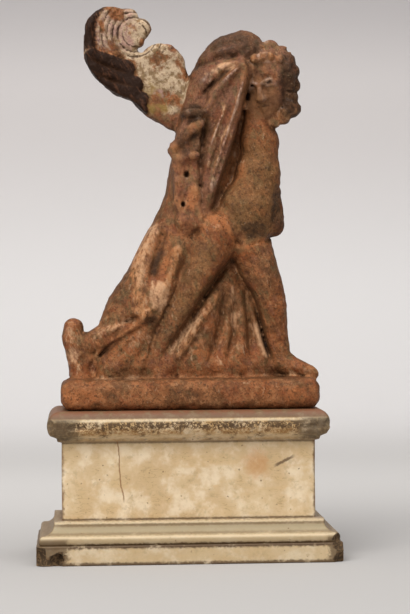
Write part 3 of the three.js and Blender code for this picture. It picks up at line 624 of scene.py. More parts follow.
def terracotta(at):
    """The whole fired piece: cloth, body, hanging cloth, break, wing, head and slab, then its wear."""
    x, y, z = at.x, at.y, at.z
    front = ease(-y, -12, 0)
    back = ease(y, 10, 24)
    hem = (cloak_foot, 8.0), (trailing_cloth, 6.0), (raised_heel, 6.0)
    skin = join(cloak(at), at, (cloak_back, 18.0), *hem)
    skin = skin - (cloak_folds(x, z) + 1.8 * fine_cloak_folds(x, z)) * front
    skin = skin - back_folds(x, z) * back
    skin = join(skin, at, (pleats, 4.0))
    body = bare_body(at) + (groin(x, z) + body_lines(x, z)) * front
    skin = blend(skin, body, 3.0) - (pleat_lines(x, z) + 1.6 * fine_pleat_lines(x, z)) * front
    folds = (hood_folds(x, z) + 1.8 * fine_hood_folds(x, z)) * front
    skin = skin - folds * 0.8 * ease(z, 250, 280) * ease(-x, -60, -50)
    hanging = plate(hanging_cloth(x, z), y, middle=-15.0, half=14.0, rounding=9.0) - folds
    skin = blend(skin, hanging, 4.0)
    skin = join(skin, at, (near_wing_break, 3.0), (wing, 3.0), (head, 3.0))
    worn = 0.65 * clay_grain.rough(x, y, z, 10.0) + 0.55 * wear_grain.rough(x, y, z, 4.2, 2)
    pits = ease(wear_grain.at(x, y, z, 4.4), 0.5, 0.85)
    skin = join(skin, at, (slab, 4.0)) + worn + 1.1 * pits
    return np.maximum(skin, -z)


class Skin:
    """Samples a form on a fine grid near its surface and turns it into a closed mesh."""

    BLOCK = 4
    POCKET_FILL = -0.2
    CORNER_FILL = -0.05

    def __init__(self, form, low, high, cell):
        self.cell = cell
        self.low = np.array(low, float)
        counts = np.ceil((np.array(high) - self.low) / (cell * self.BLOCK)).astype(int)
        self.shape = tuple(counts * self.BLOCK + 1)
        coarse = self.sample(form, counts + 1, cell * self.BLOCK)
        self.values = np.repeat(coarse, self.BLOCK, 0)
        self.values = np.repeat(np.repeat(self.values, self.BLOCK, 1), self.BLOCK, 2)
        self.values = self.values[:self.shape[0], :self.shape[1], :self.shape[2]].astype(np.float32)
        self.refine(form, coarse)
        self.fill_pockets()
        self.fill_touching_corners()

    def sample(self, form, counts, spacing):
        """The form's values at evenly spaced places, worked out a few layers at a time."""
        values = np.empty(tuple(counts))
        axes = [self.low[k] + np.arange(counts[k]) * spacing for k in range(3)]
        band = 6
        for k in range(0, counts[2], band):
            x, y, z = np.meshgrid(axes[0], axes[1], axes[2][k:k + band], indexing="ij")
            values[:, :, k:k + band] = form(Cloud(x.ravel(), y.ravel(), z.ravel())).reshape(x.shape)
        return values

    def refine(self, form, coarse):
        """Works out the true values in the blocks that the surface may cross."""
        corners = [coarse[i:coarse.shape[0] - 1 + i, j:coarse.shape[1] - 1 + j, k:coarse.shape[2] - 1 + k]
                   for i in (0, 1) for j in (0, 1) for k in (0, 1)]
        least = np.min(np.abs(corners), axis=0)
        mixed = (np.min(corners, axis=0) <= 0) & (np.max(corners, axis=0) > 0)
        reach = 1.1 * self.cell * self.BLOCK
        blocks = np.argwhere((least < reach) | mixed)
        tile, most_tiles = 6, 1000
        tiles = (blocks[:, 2] // tile) * most_tiles + blocks[:, 0] // tile
        inner = np.indices((self.BLOCK + 1,) * 3).reshape(3, -1).T
        for each in np.unique(tiles):
            cells = (blocks[tiles == each][:, None, :] * self.BLOCK + inner[None]).reshape(-1, 3)
            cells = np.unique(cells, axis=0)
            places = self.low + cells * self.cell
            self.values[tuple(cells.T)] = form(Cloud(*places.T))

    def shifted(self, moves):
        """The grid less its last layer (0) or its first (1) along each given axis."""
        index = [slice(None)] * 3
        for axis, move in moves.items():
            index[axis] = slice(move, self.shape[axis] - 1 + move)
        return tuple(index)

    def fill_pockets(self):
        """Makes hollows that the outside can't reach solid."""
        empty = self.values > 0
        outside = np.zeros_like(empty)
        outside[0], outside[-1], outside[:, :, -1] = empty[0], empty[-1], empty[:, :, -1]
        sweeps = 12
        count = -1
        while count != outside.sum():
            count = outside.sum()
            for _ in range(sweeps):
                for axis in range(3):
                    behind, ahead = self.shifted({axis: 0}), self.shifted({axis: 1})
                    outside[ahead] |= outside[behind] & empty[ahead]
                    outside[behind] |= outside[ahead] & empty[behind]
        self.values[empty & ~outside] = self.POCKET_FILL

    def fill_touching_corners(self):
        """Fills corners where the body would touch itself only along an edge."""
        mended = True
        while mended:
            mended = False
            inside = self.values <= 0
            for u, v in ((0, 1), (0, 2), (1, 2)):
                squares = [self.shifted({u: a, v: b}) for a, b in ((0, 0), (1, 0), (0, 1), (1, 1))]
                states = [inside[index] for index in squares]
                crossed = (states[0] == states[3]) & (states[1] == states[2]) & (states[0] != states[1])
                if crossed.any():
                    mended = True
                    for index, state in zip(squares, states):
                        part = self.values[index]
                        part[crossed & ~state] = self.CORNER_FILL

    def mesh(self):
        """A vertex in each cell that the surface crosses, and a face round each crossed edge."""
        values = self.values
        inside = values <= 0
        cells = tuple(n - 1 for n in self.shape)
        total = np.zeros(cells + (3,), np.float32)
        count = np.zeros(cells, np.uint8)
        for axis in range(3):
            u, v = (axis + 1) % 3, (axis + 2) % 3
            for a in (0, 1):
                for b in (0, 1):
                    low, high = (self.shifted({axis: end, u: a, v: b}) for end in (0, 1))
                    crossing = inside[low] != inside[high]
                    first = values[low][crossing]
                    share = first / (first - values[high][crossing])
                    total[crossing, axis] += share
                    total[crossing, u] += a
                    total[crossing, v] += b
                    count[crossing] += 1
        used = np.argwhere(count > 0)
        number = np.full(cells, -1, np.int64)
        number[tuple(used.T)] = np.arange(len(used))
        places = used + total[tuple(used.T)] / count[tuple(used.T)][:, None]
        quads = []
        for axis in range(3):
            u, v = (axis + 1) % 3, (axis + 2) % 3
            low = [slice(1, n - 1) for n in self.shape]
            high = list(low)
            high[axis] = slice(2, self.shape[axis])
            starts = np.argwhere(inside[tuple(low)] != inside[tuple(high)]) + 1
            step_u = np.eye(3, dtype=int)[u]
            step_v = np.eye(3, dtype=int)[v]
            ring = [starts, starts - step_u, starts - step_u - step_v, starts - step_v]
            ring = np.stack([number[tuple(corner.T)] for corner in ring], 1)
            turned = ~inside[tuple(starts.T)]
            ring[turned] = ring[turned][:, ::-1]
            quads.append(ring)
        return self.low + places * self.cell, np.concatenate(quads)

    def value_at(self, places):
        """The sampled distance at any place near the surface."""
        spots = (places - self.low) / self.cell
        spots = np.clip(spots, 0, np.array(self.shape) - 1.001)
        corner = np.floor(spots).astype(int)
        part = spots - corner
        total = 0.0
        for n in range(8):
            offset = np.array([n & 1, n >> 1 & 1, n >> 2 & 1])
            weight = np.prod(np.where(offset, part, 1 - part), axis=1)
            total = total + weight * self.values[tuple((corner + offset).T)]
        return total


def make_mesh(name, places, faces):
    """A smooth mesh object from places in metres and its faces."""
    mesh = bpy.data.meshes.new(name)
    mesh.from_pydata(places.tolist(), [], faces.tolist() if hasattr(faces, "tolist") else faces)
    mesh.update()
    piece = bpy.data.objects.new(name, mesh)
    bpy.context.scene.collection.objects.link(piece)
    mesh.shade_smooth()
    return piece


def vertex_normals(mesh):
    normals = np.empty(len(mesh.vertices) * 3, np.float32)
    mesh.vertices.foreach_get("normal", normals)
    return normals.reshape(-1, 3)


def paint(piece, name, values):
    """Keeps a worked-out amount for each vertex, which the finish reads."""
    layer = piece.data.attributes.new(name, "FLOAT", "POINT")
    layer.data.foreach_set("value", np.clip(values, 0.0, 1.0).astype(np.float32))


def spot(x, z, centre, radii, soft=0.35):
    """A soft-edged oval seen from the front."""
    reach = np.hypot((x - centre[0]) / radii[0], (z - centre[1]) / radii[1])
    return ease(-reach, -1.0 - soft, -1.0 + soft)


def oval(strength, centre, radii):
    return lambda x, z: strength * spot(x, z, centre, radii)


def streak(strength, width, *points):
    line = groove(width, *points)
    return lambda x, z: strength * line(x, z)


# Where slip, orange clay, olive dirt and dark patches lie on the front; the dark streak along the recess on
# the left is painted shade
SLIP_MARKS = (
    streak(0.75, 7, (-30, 186), (-46, 150), (-50, 112)),
    oval(0.9, (-31, 112), (10, 16)),
    oval(0.55, (-49, 70), (12, 9)),
    oval(0.35, (-60, 50), (14, 10)),
    streak(0.9, 5, (64, 88), (72, 66), (78, 46)),
    streak(0.6, 6, (43, 126), (45, 100), (45, 84)),
    streak(0.5, 5, (30, 113), (2, 82), (-29, 47)),
    streak(0.65, 6, (-50, 92), (-76, 80), (-100, 68)),
    oval(0.3, (102, 38), (22, 8)),
    oval(0.35, (24, 182), (18, 9)),
    oval(0.4, (-114, 44), (8, 14)),
    streak(0.35, 2.4, (38, 306), (30, 276), (21, 248)),
    streak(0.4, 2.4, (41, 286), (32, 258), (24, 232)),
    oval(0.9, (38, 337), (9, 5)),
    oval(0.5, (24, 330), (8, 5)),
    oval(0.5, (-116, 70), (8, 22)),
    oval(0.35, (26, 66), (40, 30)),
    streak(0.15, 8, (44, 316), (32, 276), (20, 232)),
)
ORANGE_MARKS = (
    oval(0.95, (4, 208), (6, 14)),
    oval(0.7, (-6, 201), (6, 6)),
    oval(0.6, (-14, 256), (6, 5)),
    streak(0.5, 4, (11, 281), (-10, 258)),
    oval(0.8, (84, 345), (5, 5)),
    streak(0.5, 4, (57, 340), (56, 300), (62, 280)),
    oval(0.6, (-112, 12), (20, 12)),
    oval(0.6, (112, 14), (22, 11)),
    oval(0.4, (-70, 14), (30, 10)),
    oval(0.35, (80, 70), (12, 26)),
    streak(1.0, 3, (33, 184), (42, 169), (50, 157)),
    streak(0.9, 3, (50, 157), (66, 162), (84, 170)),
    streak(0.8, 10, (58, 298), (50, 252), (34, 208)),
    oval(0.5, (24, 182), (18, 10)),
    streak(0.5, 8, (-50, 90), (-76, 76), (-98, 60)),
    oval(0.45, (30, 70), (30, 30)),
    oval(0.5, (-16, 140), (12, 26)),
)
OLIVE_MARKS = (
    oval(0.95, (62, 214), (30, 56)),
    streak(0.8, 16, (24, 170), (4, 124), (-14, 84)),
)
DARK_PATCH_MARKS = (
    oval(0.9, (4, 291), (13, 10)),
    oval(0.7, (0, 262), (12, 14)),
    oval(0.85, (90, 194), (9, 24)),
    oval(0.7, (64, 176), (14, 9)),
    oval(0.85, (104, 318), (14, 44)),
    oval(0.7, (-38, 88), (7, 6)),
    oval(0.75, (46, 360), (30, 15)),
    oval(0.45, (14, 336), (14, 18)),
    # Painted shade along the recess on the left
    streak(0.9, 5, (-26, 160), (-32, 146), (-36, 130)),
    oval(0.45, (-68, 110), (9, 14)),
    oval(0.35, (-18, 76), (14, 14)),
)
warm_gap = groove(12, (58, 300), (50, 252), (34, 206))


def paint_figure(piece, steps, skin):
    """Where dirt and painted shade lie, where the clay is worn and given painted highlights, and where the
    pale slip is left.
    """
    x, y, z = steps.T
    normals = vertex_normals(piece.data)

    def bent(side, *distances):
        """How far the skin is hollow (side 1) or stands out (side -1), at a few scales."""
        gaps = [side * skin.value_at(steps + side * normals * d) / d for d in distances]
        return sum(1.0 - np.clip(gap, 0, 1) for gap in gaps) / len(gaps)

    def total(marks):
        return sum(mark(x, z) for mark in marks)

    hollow, deep = bent(1, 2.5, 5.0), bent(1, 9.0, 14.0)
    crest, ridge = bent(-1, 2.5, 4.5), bent(-1, 7.0, 11.0)
    front = ease(-y, -14, -2)
    high = ease(z, 205, 235)
    patchy = wear_grain.rough(x, y, z, 14.0)
    scattered = wear_grain.rough(x, y, z, 9.0)
    on_body = ease(-bare_body(Cloud(x, y, z)), -3.0, -0.5)
    in_pleats = spot(x, z, (28, 84), (46, 74), soft=0.5)
    in_gap = warm_gap(x, z)

    # The wing, and how the lines carved into each part run
    in_wing = ease(-wing_outline(x, z), -2, 1) * ease(y, -6, 0) * ease(z, 285, 300)
    off_wing = 1 - in_wing
    reach = from_curl(x, z)
    ribs = curl_ribs(reach) * ease(reach, 8, 14) * ease(z, 345, 352)
    wing_lines = 6.0 * ribs * (0.6 + 0.6 * patchy) + 3.0 * feather_lines(x, z)
    cloth_lines = cloak_folds(x, z) + pleat_lines(x, z) + hood_folds(x, z)
    cloth_lines += 1.8 * (fine_cloak_folds(x, z) + fine_pleat_lines(x, z) + fine_hood_folds(x, z))
    lines = cloth_lines * (1 - on_body) + (groin(x, z) + body_lines(x, z)) * on_body
    lines = lines * front * off_wing + wing_lines * in_wing

    # Form: painted shade in deep hollows and on sides that turn away, dirt and painted shade in small
    # hollows and valleys, and crests that are worn and carry a painted highlight
    shaded = ease(deep, 0.14, 0.65) * off_wing * ease(z, 38, 70)
    paint(piece, "shade", shaded * (1 - 0.6 * in_pleats) * (1 - 0.6 * in_gap))
    # Broad ridges, lightened with wear and a painted highlight
    paint(piece, "ridge", ease(ridge, 0.18, 0.6) * front * off_wing)
    # Painted shade: sides that turn away from the front are darkened
    paint(piece, "turned", ease(-np.abs(normals[:, 1]), -0.62, -0.12) * off_wing)
    # Dirt and painted shade in small hollows and along the valleys of the carved lines
    drawn = 0.5 * ease(-lines, 0.8, 7.0) * (1 - high) + 0.75 * ease(-lines, 0.6, 4.2) * high
    paint(piece, "recess", np.maximum(0.85 * hollow, drawn) * (1 - 0.7 * in_gap) * (1 - 0.4 * in_pleats))
    # Worn crests and raised lines, which the finish lightens with wear and a painted highlight
    paint(piece, "crest", np.maximum(crest, 0.8 * ease(lines, 0.5, 4.5)))

    # Colours of the wing
    under_coverts = ease(-covert_layer(x, z), -1, 1.5) * (y < 22)
    rim = ease(reach, 35, 44) * ease(z, 352, 362)
    pale_wing = in_wing * (1 - under_coverts) * (1 - 0.85 * rim)
    pink_tip = 0.6 * ease(z, 352, 360) * ease(-x, 46, 56) * (0.7 + 0.5 * patchy)
    pink = spot(x, z, (-28, 311), (6, 7)) + pink_tip
    paint(piece, "wing_dark", in_wing * np.clip(under_coverts + 0.9 * rim, 0, 1))
    paint(piece, "wing_pale", pale_wing * ease(patchy, -0.9, 0.3))
    paint(piece, "wing_olive", in_wing * ease(-z, -338, -296) * ease(x, -56, -44) * ease(-x, 8, 30))
    paint(piece, "wing_pink", in_wing * np.clip(pink, 0, 1))

    # Colours of the body and the cloak
    joint_slip = 0.7 * ease(-np.abs(z - 32), -5, -1) * spot(x, z, (-60, 32), (40, 8))
    slip = total(SLIP_MARKS) + joint_slip * ease(patchy, -0.3, 0.5) + 0.25 * ease(scattered, 0.3, 0.9)
    paint(piece, "slip", slip * front)
    paint(piece, "cloth", (1 - on_body) * ease(z, 150, 230) * off_wing)
    paint(piece, "orange", total(ORANGE_MARKS) + 0.4 * ease(patchy, 0.3, 0.9))
    paint(piece, "olive", total(OLIVE_MARKS) * front)
    paint(piece, "dark_patches", total(DARK_PATCH_MARKS) * front)

    # Face: an even tone, and painted shade along the lids and the mouth line
    across, out, up = in_head_frame(x, y, z)
    sideways = np.abs(across)
    in_face = ease(-np.hypot(across / 17, (up + 7) / 22), -1.0, -0.8) * ease(out, 8, 12) * ease(z, 280, 286)
    from_eye = sideways - EYE_ACROSS
    lid_arch = up - 1.6 + (from_eye / EYE_HALF) ** 2
    eye_line = ease(-np.abs(lid_arch), -0.9, -0.3) * (np.abs(from_eye) < EYE_HALF)
    mouth_line = ease(-np.abs(up - MOUTH_UP), -0.9, -0.3) * (sideways < 5.5)
    paint(piece, "face", in_face)
    paint(piece, "face_line_shade", in_face * np.maximum(0.5 * eye_line, mouth_line))


def make_figure():
    """The terracotta, with its slab, as one fine mesh in place of its solid."""
    low = (-136, -60, -CELL * 2.5)
    high = (138, 64, 410)
    skin = Skin(terracotta, low, high, CELL)
    steps, quads = skin.mesh()
    node_low, node_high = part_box("eros_figure")
    places = steps * STEP * MM
    places[:, 0] += FIGURE_OFFSET * MM
    places[:, 2] += node_low[2]
    places = np.clip(places, np.array(node_low), np.array(node_high))
    piece = make_mesh("terracotta_figure", places, quads)
    paint_figure(piece, steps, skin)
    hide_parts("eros_figure")
    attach(piece, "root")
    return piece


# Marble base
def bulge(start, end, depth, bottom, top, pieces):
    """Places along a moulding's bulge: how far it stands back from its fullest point, and its height."""
    angles = np.linspace(start, end, pieces + 1)
    lift = (np.sin(angles) - math.sin(start)) / (math.sin(end) - math.sin(start))
    return np.stack([depth * (1 - np.cos(angles)), bottom + (top - bottom) * lift], 1)


def base_profile():
    """How far the base stands out from its die at each height, from the bottom up."""
    arris = 0.5
    plinth = [
        (FOOT_OVERHANG - arris, 0.0), (FOOT_OVERHANG, arris),
        (FOOT_OVERHANG, PLINTH_HEIGHT - arris), (FOOT_OVERHANG - arris, PLINTH_HEIGHT),
    ]
    bead_top = PLINTH_HEIGHT + 0.39 * FOOT_HEIGHT
    bead_depth = 0.12 * FOOT_OVERHANG
    bead_reach = 0.9 * FOOT_OVERHANG
    bead = bulge(-0.9, 1.3, bead_depth, PLINTH_HEIGHT + 0.01 * FOOT_HEIGHT, bead_top, 10)
    bead[:, 0] = bead_reach - bead[:, 0]
    ledge = 0.33 * FOOT_OVERHANG
    ledge_drop = 0.04 * FOOT_HEIGHT
    fillet_height = 0.09 * FOOT_HEIGHT
    flare_bottom = bead_top + 0.01 * FOOT_HEIGHT
    flare_top = FOOT_TOP - ledge_drop - fillet_height
    angles = np.linspace(0.0, math.pi / 2, 14)
    flare = np.stack([
        ledge + (bead_reach - bead_depth - ledge) * (1 - np.sin(angles)),
        flare_bottom + (flare_top - flare_bottom) * (1 - np.cos(angles)),
    ], 1)
    fillet = [(ledge, FOOT_TOP - ledge_drop), (0, FOOT_TOP)]
    cornice = [(share * CORNICE_OVERHANG, DIE_TOP + rise * CORNICE_HEIGHT)
               for share, rise in ((0.28, 0.04), (0.36, 0.14), (0.78, 0.24))]
    nose_depth = 0.83 * CORNICE_OVERHANG
    nose = bulge(-0.67, math.pi / 2, nose_depth, DIE_TOP + 0.27 * CORNICE_HEIGHT, BASE_HEIGHT, 16)
    nose[:, 0] = CORNICE_OVERHANG - nose[:, 0]
    profile = np.vstack([plinth, bead, flare, fillet, [(0, DIE_TOP)], cornice, nose])
    fine = [profile[0]]
    longest = 1.5
    for a, b in zip(profile, profile[1:]):
        pieces = max(1, math.ceil(np.hypot(*(b - a)) / longest))
        fine += [a + (b - a) * n / pieces for n in range(1, pieces + 1)]
    return np.array(fine)


def ring_plan():
    """One turn round the base: the corner that each place belongs to, its share along the side
    that follows, and its direction from the corner's centre."""
    corner_pieces = 4
    side_spacing = 1.5
    plan = []
    signs = ((1, 1), (-1, 1), (-1, -1), (1, -1))
    for corner, sign in enumerate(signs):
        for n in range(corner_pieces + 1):
            angle = (corner + n / corner_pieces) * math.pi / 2
            plan.append((sign, sign, 0.0, (math.cos(angle), math.sin(angle))))
        following = signs[(corner + 1) % 4]
        length = DIE_LENGTH if sign[0] != following[0] else DIE_DEPTH
        pieces = round(length / side_spacing)
        normal = (math.cos((corner + 1) * math.pi / 2), math.sin((corner + 1) * math.pi / 2))
        plan += [(sign, following, n / pieces, normal) for n in range(1, pieces)]
    return plan


def chip_lumps():
    """The rough lumps that knock chips out of the edges: centre, size, turn and how dark the break is."""
    plinth_x = DIE_LENGTH / 2 + FOOT_OVERHANG
    plinth_y = DIE_DEPTH / 2 + FOOT_OVERHANG
    nose_x = DIE_LENGTH / 2 + CORNICE_OVERHANG
    nose_y = DIE_DEPTH / 2 + CORNICE_OVERHANG
    nose_z = BASE_HEIGHT - 0.45 * CORNICE_HEIGHT
    bead_z = PLINTH_HEIGHT + 0.16 * FOOT_HEIGHT
    return (
        ((-plinth_x - 1, -plinth_y - 1, 4), (6.5, 5, 8), 0.4, 1.0),
        ((-plinth_x + 9, -plinth_y - 2.6, 1.5), (9, 4, 5), 0.9, 1.0),
        ((plinth_x + 0.4, -plinth_y - 1, bead_z), (6.5, 6, 7), 1.3, 1.0),
        ((plinth_x + 1.5, -plinth_y - 1, 1.5), (7.5, 5.5, 6), 0.2, 1.0),
        ((-nose_x - 1, -nose_y - 1, nose_z), (5, 4, 5), 0.7, 0.35),
        ((-nose_x + 14, -nose_y - 2.6, nose_z - 1), (10, 4, 3), 0.1, 0.35),
        ((nose_x + 0.5, -nose_y - 1.5, nose_z), (7, 4.5, 4.5), 1.1, 0.35),
        ((nose_x - 15, -nose_y - 2.6, nose_z - 2), (9, 4, 3), 0.3, 0.35),
        ((plinth_x + 1, plinth_y + 1, bead_z - 1), (5, 5, 6), 0.8, 1.0),
    )


def knock_chips(places):
    """Pushes the places inside each lump back to its skin, and gives how broken each place is."""
    broken = np.zeros(len(places))
    for centre, size, turn, darkness in chip_lumps():
        turned = np.array(Matrix.Rotation(turn * 0.6, 3, "X") @ Matrix.Rotation(turn, 3, "Z"))
        local = (places - centre) @ turned / size
        rough = 1.0 + 0.16 * wear_grain.rough(*places.T, 4.0) + 0.06 * wear_grain.rough(*places.T, 1.8, 3)
        reach = np.linalg.norm(local, axis=1) / rough + 1e-6
        inside = reach < 1.0
        local[inside] /= reach[inside, None]
        places[inside] = (local[inside] * size) @ turned.T + centre
        broken = np.maximum(broken, darkness * ease(-reach, -1.25, -0.95))
    return broken


def make_base():
    """The marble block: the profile carried round the plan in rings, then worn and chipped."""
    profile = base_profile()
    plan = ring_plan()
    rings = []
    for out, height in profile:
        half = np.array([DIE_LENGTH / 2, DIE_DEPTH / 2]) + out - CORNER_ROUND
        for sign, following, share, normal in plan:
            centre = half * (np.array(sign) * (1 - share) + np.array(following) * share)
            rings.append((*(centre + CORNER_ROUND * np.array(normal)), height))
    places = np.array(rings)
    count = len(plan)
    levels = len(profile)
    faces = []
    for level in range(levels - 1):
        for n in range(count):
            a = level * count + n
            b = level * count + (n + 1) % count
            faces.append((a, b, b + count, a + count))
    faces.append(tuple(range(count))[::-1])
    faces.append(tuple(range((levels - 1) * count, levels * count)))
    x, y, z = places.T
    inner = ease(z, 0.2, 1.5) * ease(BASE_HEIGHT - z, 0.02, 0.6)
    wobble = 0.10 * wear_grain.rough(x, y, z, 11.0) + 0.05 * wear_grain.rough(x, y, z, 3.0, 2)
    eroded = ease(z, DIE_TOP, DIE_TOP + 2) * ease(-z, -BASE_HEIGHT + 4, -BASE_HEIGHT + 7)
    pitted = eroded * ease(wear_grain.rough(x, y, z, 2.6), 0.0, 0.7)
    inward = -(0.12 + wobble + 0.5 * pitted) * inner
    places[:, 0] += inward * np.sign(x) * (np.abs(x) > DIE_LENGTH / 2 - 1)
    places[:, 1] += inward * np.sign(y) * (np.abs(y) > DIE_DEPTH / 2 - 1)
    broken = knock_chips(places)
    places = np.clip(places * MM, *np.array(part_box("marble_base")))
    piece = make_mesh("marble_block", places, faces)
    piece.data.set_sharp_from_angle(angle=math.radians(38))
    paint(piece, "broken", broken)
    paint(piece, "pitted", pitted)
    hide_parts("marble_base")
    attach(piece, "root")
    return piece


# Finishes
class Value:
    """A shader socket that sums and products can be written with."""

    def __init__(self, finish, socket):
        self.finish = finish
        self.socket = socket

    def math(self, operation, *others, clamp=False):
        settings = {"operation": operation, "use_clamp": clamp}
        inputs = dict(enumerate((self, *others)))
        return self.finish.node("ShaderNodeMath", settings, inputs)["Value"]

    def __add__(self, other):
        return self.math("ADD", other)

    __radd__ = __add__

    def __mul__(self, other):
        return self.math("MULTIPLY", other)

    __rmul__ = __mul__

    def __sub__(self, other):
        return self.math("SUBTRACT", other)

    def __rsub__(self, other):
        return self.math("MULTIPLY_ADD", -1.0, other)

    def between(self, low, high):
        inputs = {"Value": self, "From Min": low, "From Max": high}
        settings = {"interpolation_type": "SMOOTHSTEP"}
        return self.finish.node("ShaderNodeMapRange", settings, inputs)["Result"]

    def clamped(self):
        return self.math("ADD", 0.0, clamp=True)


class Finish:
    """A material whose nodes are made by name."""

    # Sockets of a Mix node that share their names with others
    FIRST_COLOUR = 6
    SECOND_COLOUR = 7

    def __init__(self, name):
        self.material = bpy.data.materials.new(name)
        self.material.use_nodes = True
        self.tree = self.material.node_tree
        self.shader = self.tree.nodes["Principled BSDF"]
        self.place = self.node("ShaderNodeTexCoord", {}, {})["Object"]

    def node(self, kind, settings, inputs):
        made = self.tree.nodes.new(kind)
        for key, value in settings.items():
            setattr(made, key, value)
        for key, value in inputs.items():
            self.feed(made.inputs[key], value)
        return {socket.name: Value(self, socket) for socket in made.outputs if socket.enabled}

    def feed(self, socket, value):
        if isinstance(value, Value):
            self.tree.links.new(value.socket, socket)
        else:
            socket.default_value = value

    def along(self, axis):
        """Where a place lies along an axis, in millimetres."""
        return self.node("ShaderNodeSeparateXYZ", {}, {"Vector": self.place})[axis] * (1 / MM)

    def painted(self, name):
        return self.node("ShaderNodeAttribute", {"attribute_name": name}, {})["Fac"]

    def stretched(self, scale):
        settings = {"vector_type": "POINT"}
        return self.node("ShaderNodeMapping", settings, {"Vector": self.place, "Scale": scale})["Vector"]

    def leaning(self, angle, scale):
        turned = self.node("ShaderNodeMapping", {}, {"Vector": self.place, "Rotation": (0.0, angle, 0.0)})
        return self.node("ShaderNodeMapping", {}, {"Vector": turned["Vector"], "Scale": scale})["Vector"]

    def noise(self, size_mm, detail=3.0, roughness=0.55, place=None):
        inputs = {
            "Vector": place or self.place,
            "Scale": 1.0 / (size_mm * MM),
            "Detail": detail,
            "Roughness": roughness,
        }
        return self.node("ShaderNodeTexNoise", {"noise_dimensions": "3D"}, inputs)["Fac"]

    def cells(self, size_mm):
        inputs = {"Vector": self.place, "Scale": 1.0 / (size_mm * MM)}
        return self.node("ShaderNodeTexVoronoi", {"feature": "F1"}, inputs)["Distance"]

    def mix(self, share, first, second):
        inputs = {"Factor": share, self.FIRST_COLOUR: first, self.SECOND_COLOUR: second}
        return self.node("ShaderNodeMix", {"data_type": "RGBA"}, inputs)["Result"]

    def lay(self, share, colour):
        """Lays a share of a colour over the colours laid so far."""
        self.colour = self.mix(share, self.colour, colour)

    def bump(self, height, strength, distance_mm):
        inputs = {"Height": height, "Strength": strength, "Distance": distance_mm * MM}
        return self.node("ShaderNodeBump", {}, inputs)["Normal"]

    def surface(self, sockets):
        """Feeds the shader, with the laid colours as its base colour."""
        self.feed(self.shader.inputs["Base Color"], self.colour)
        for name, value in sockets.items():
            self.feed(self.shader.inputs[name], value)


def rgb(red, green, blue):
    return (red, green, blue, 1.0)


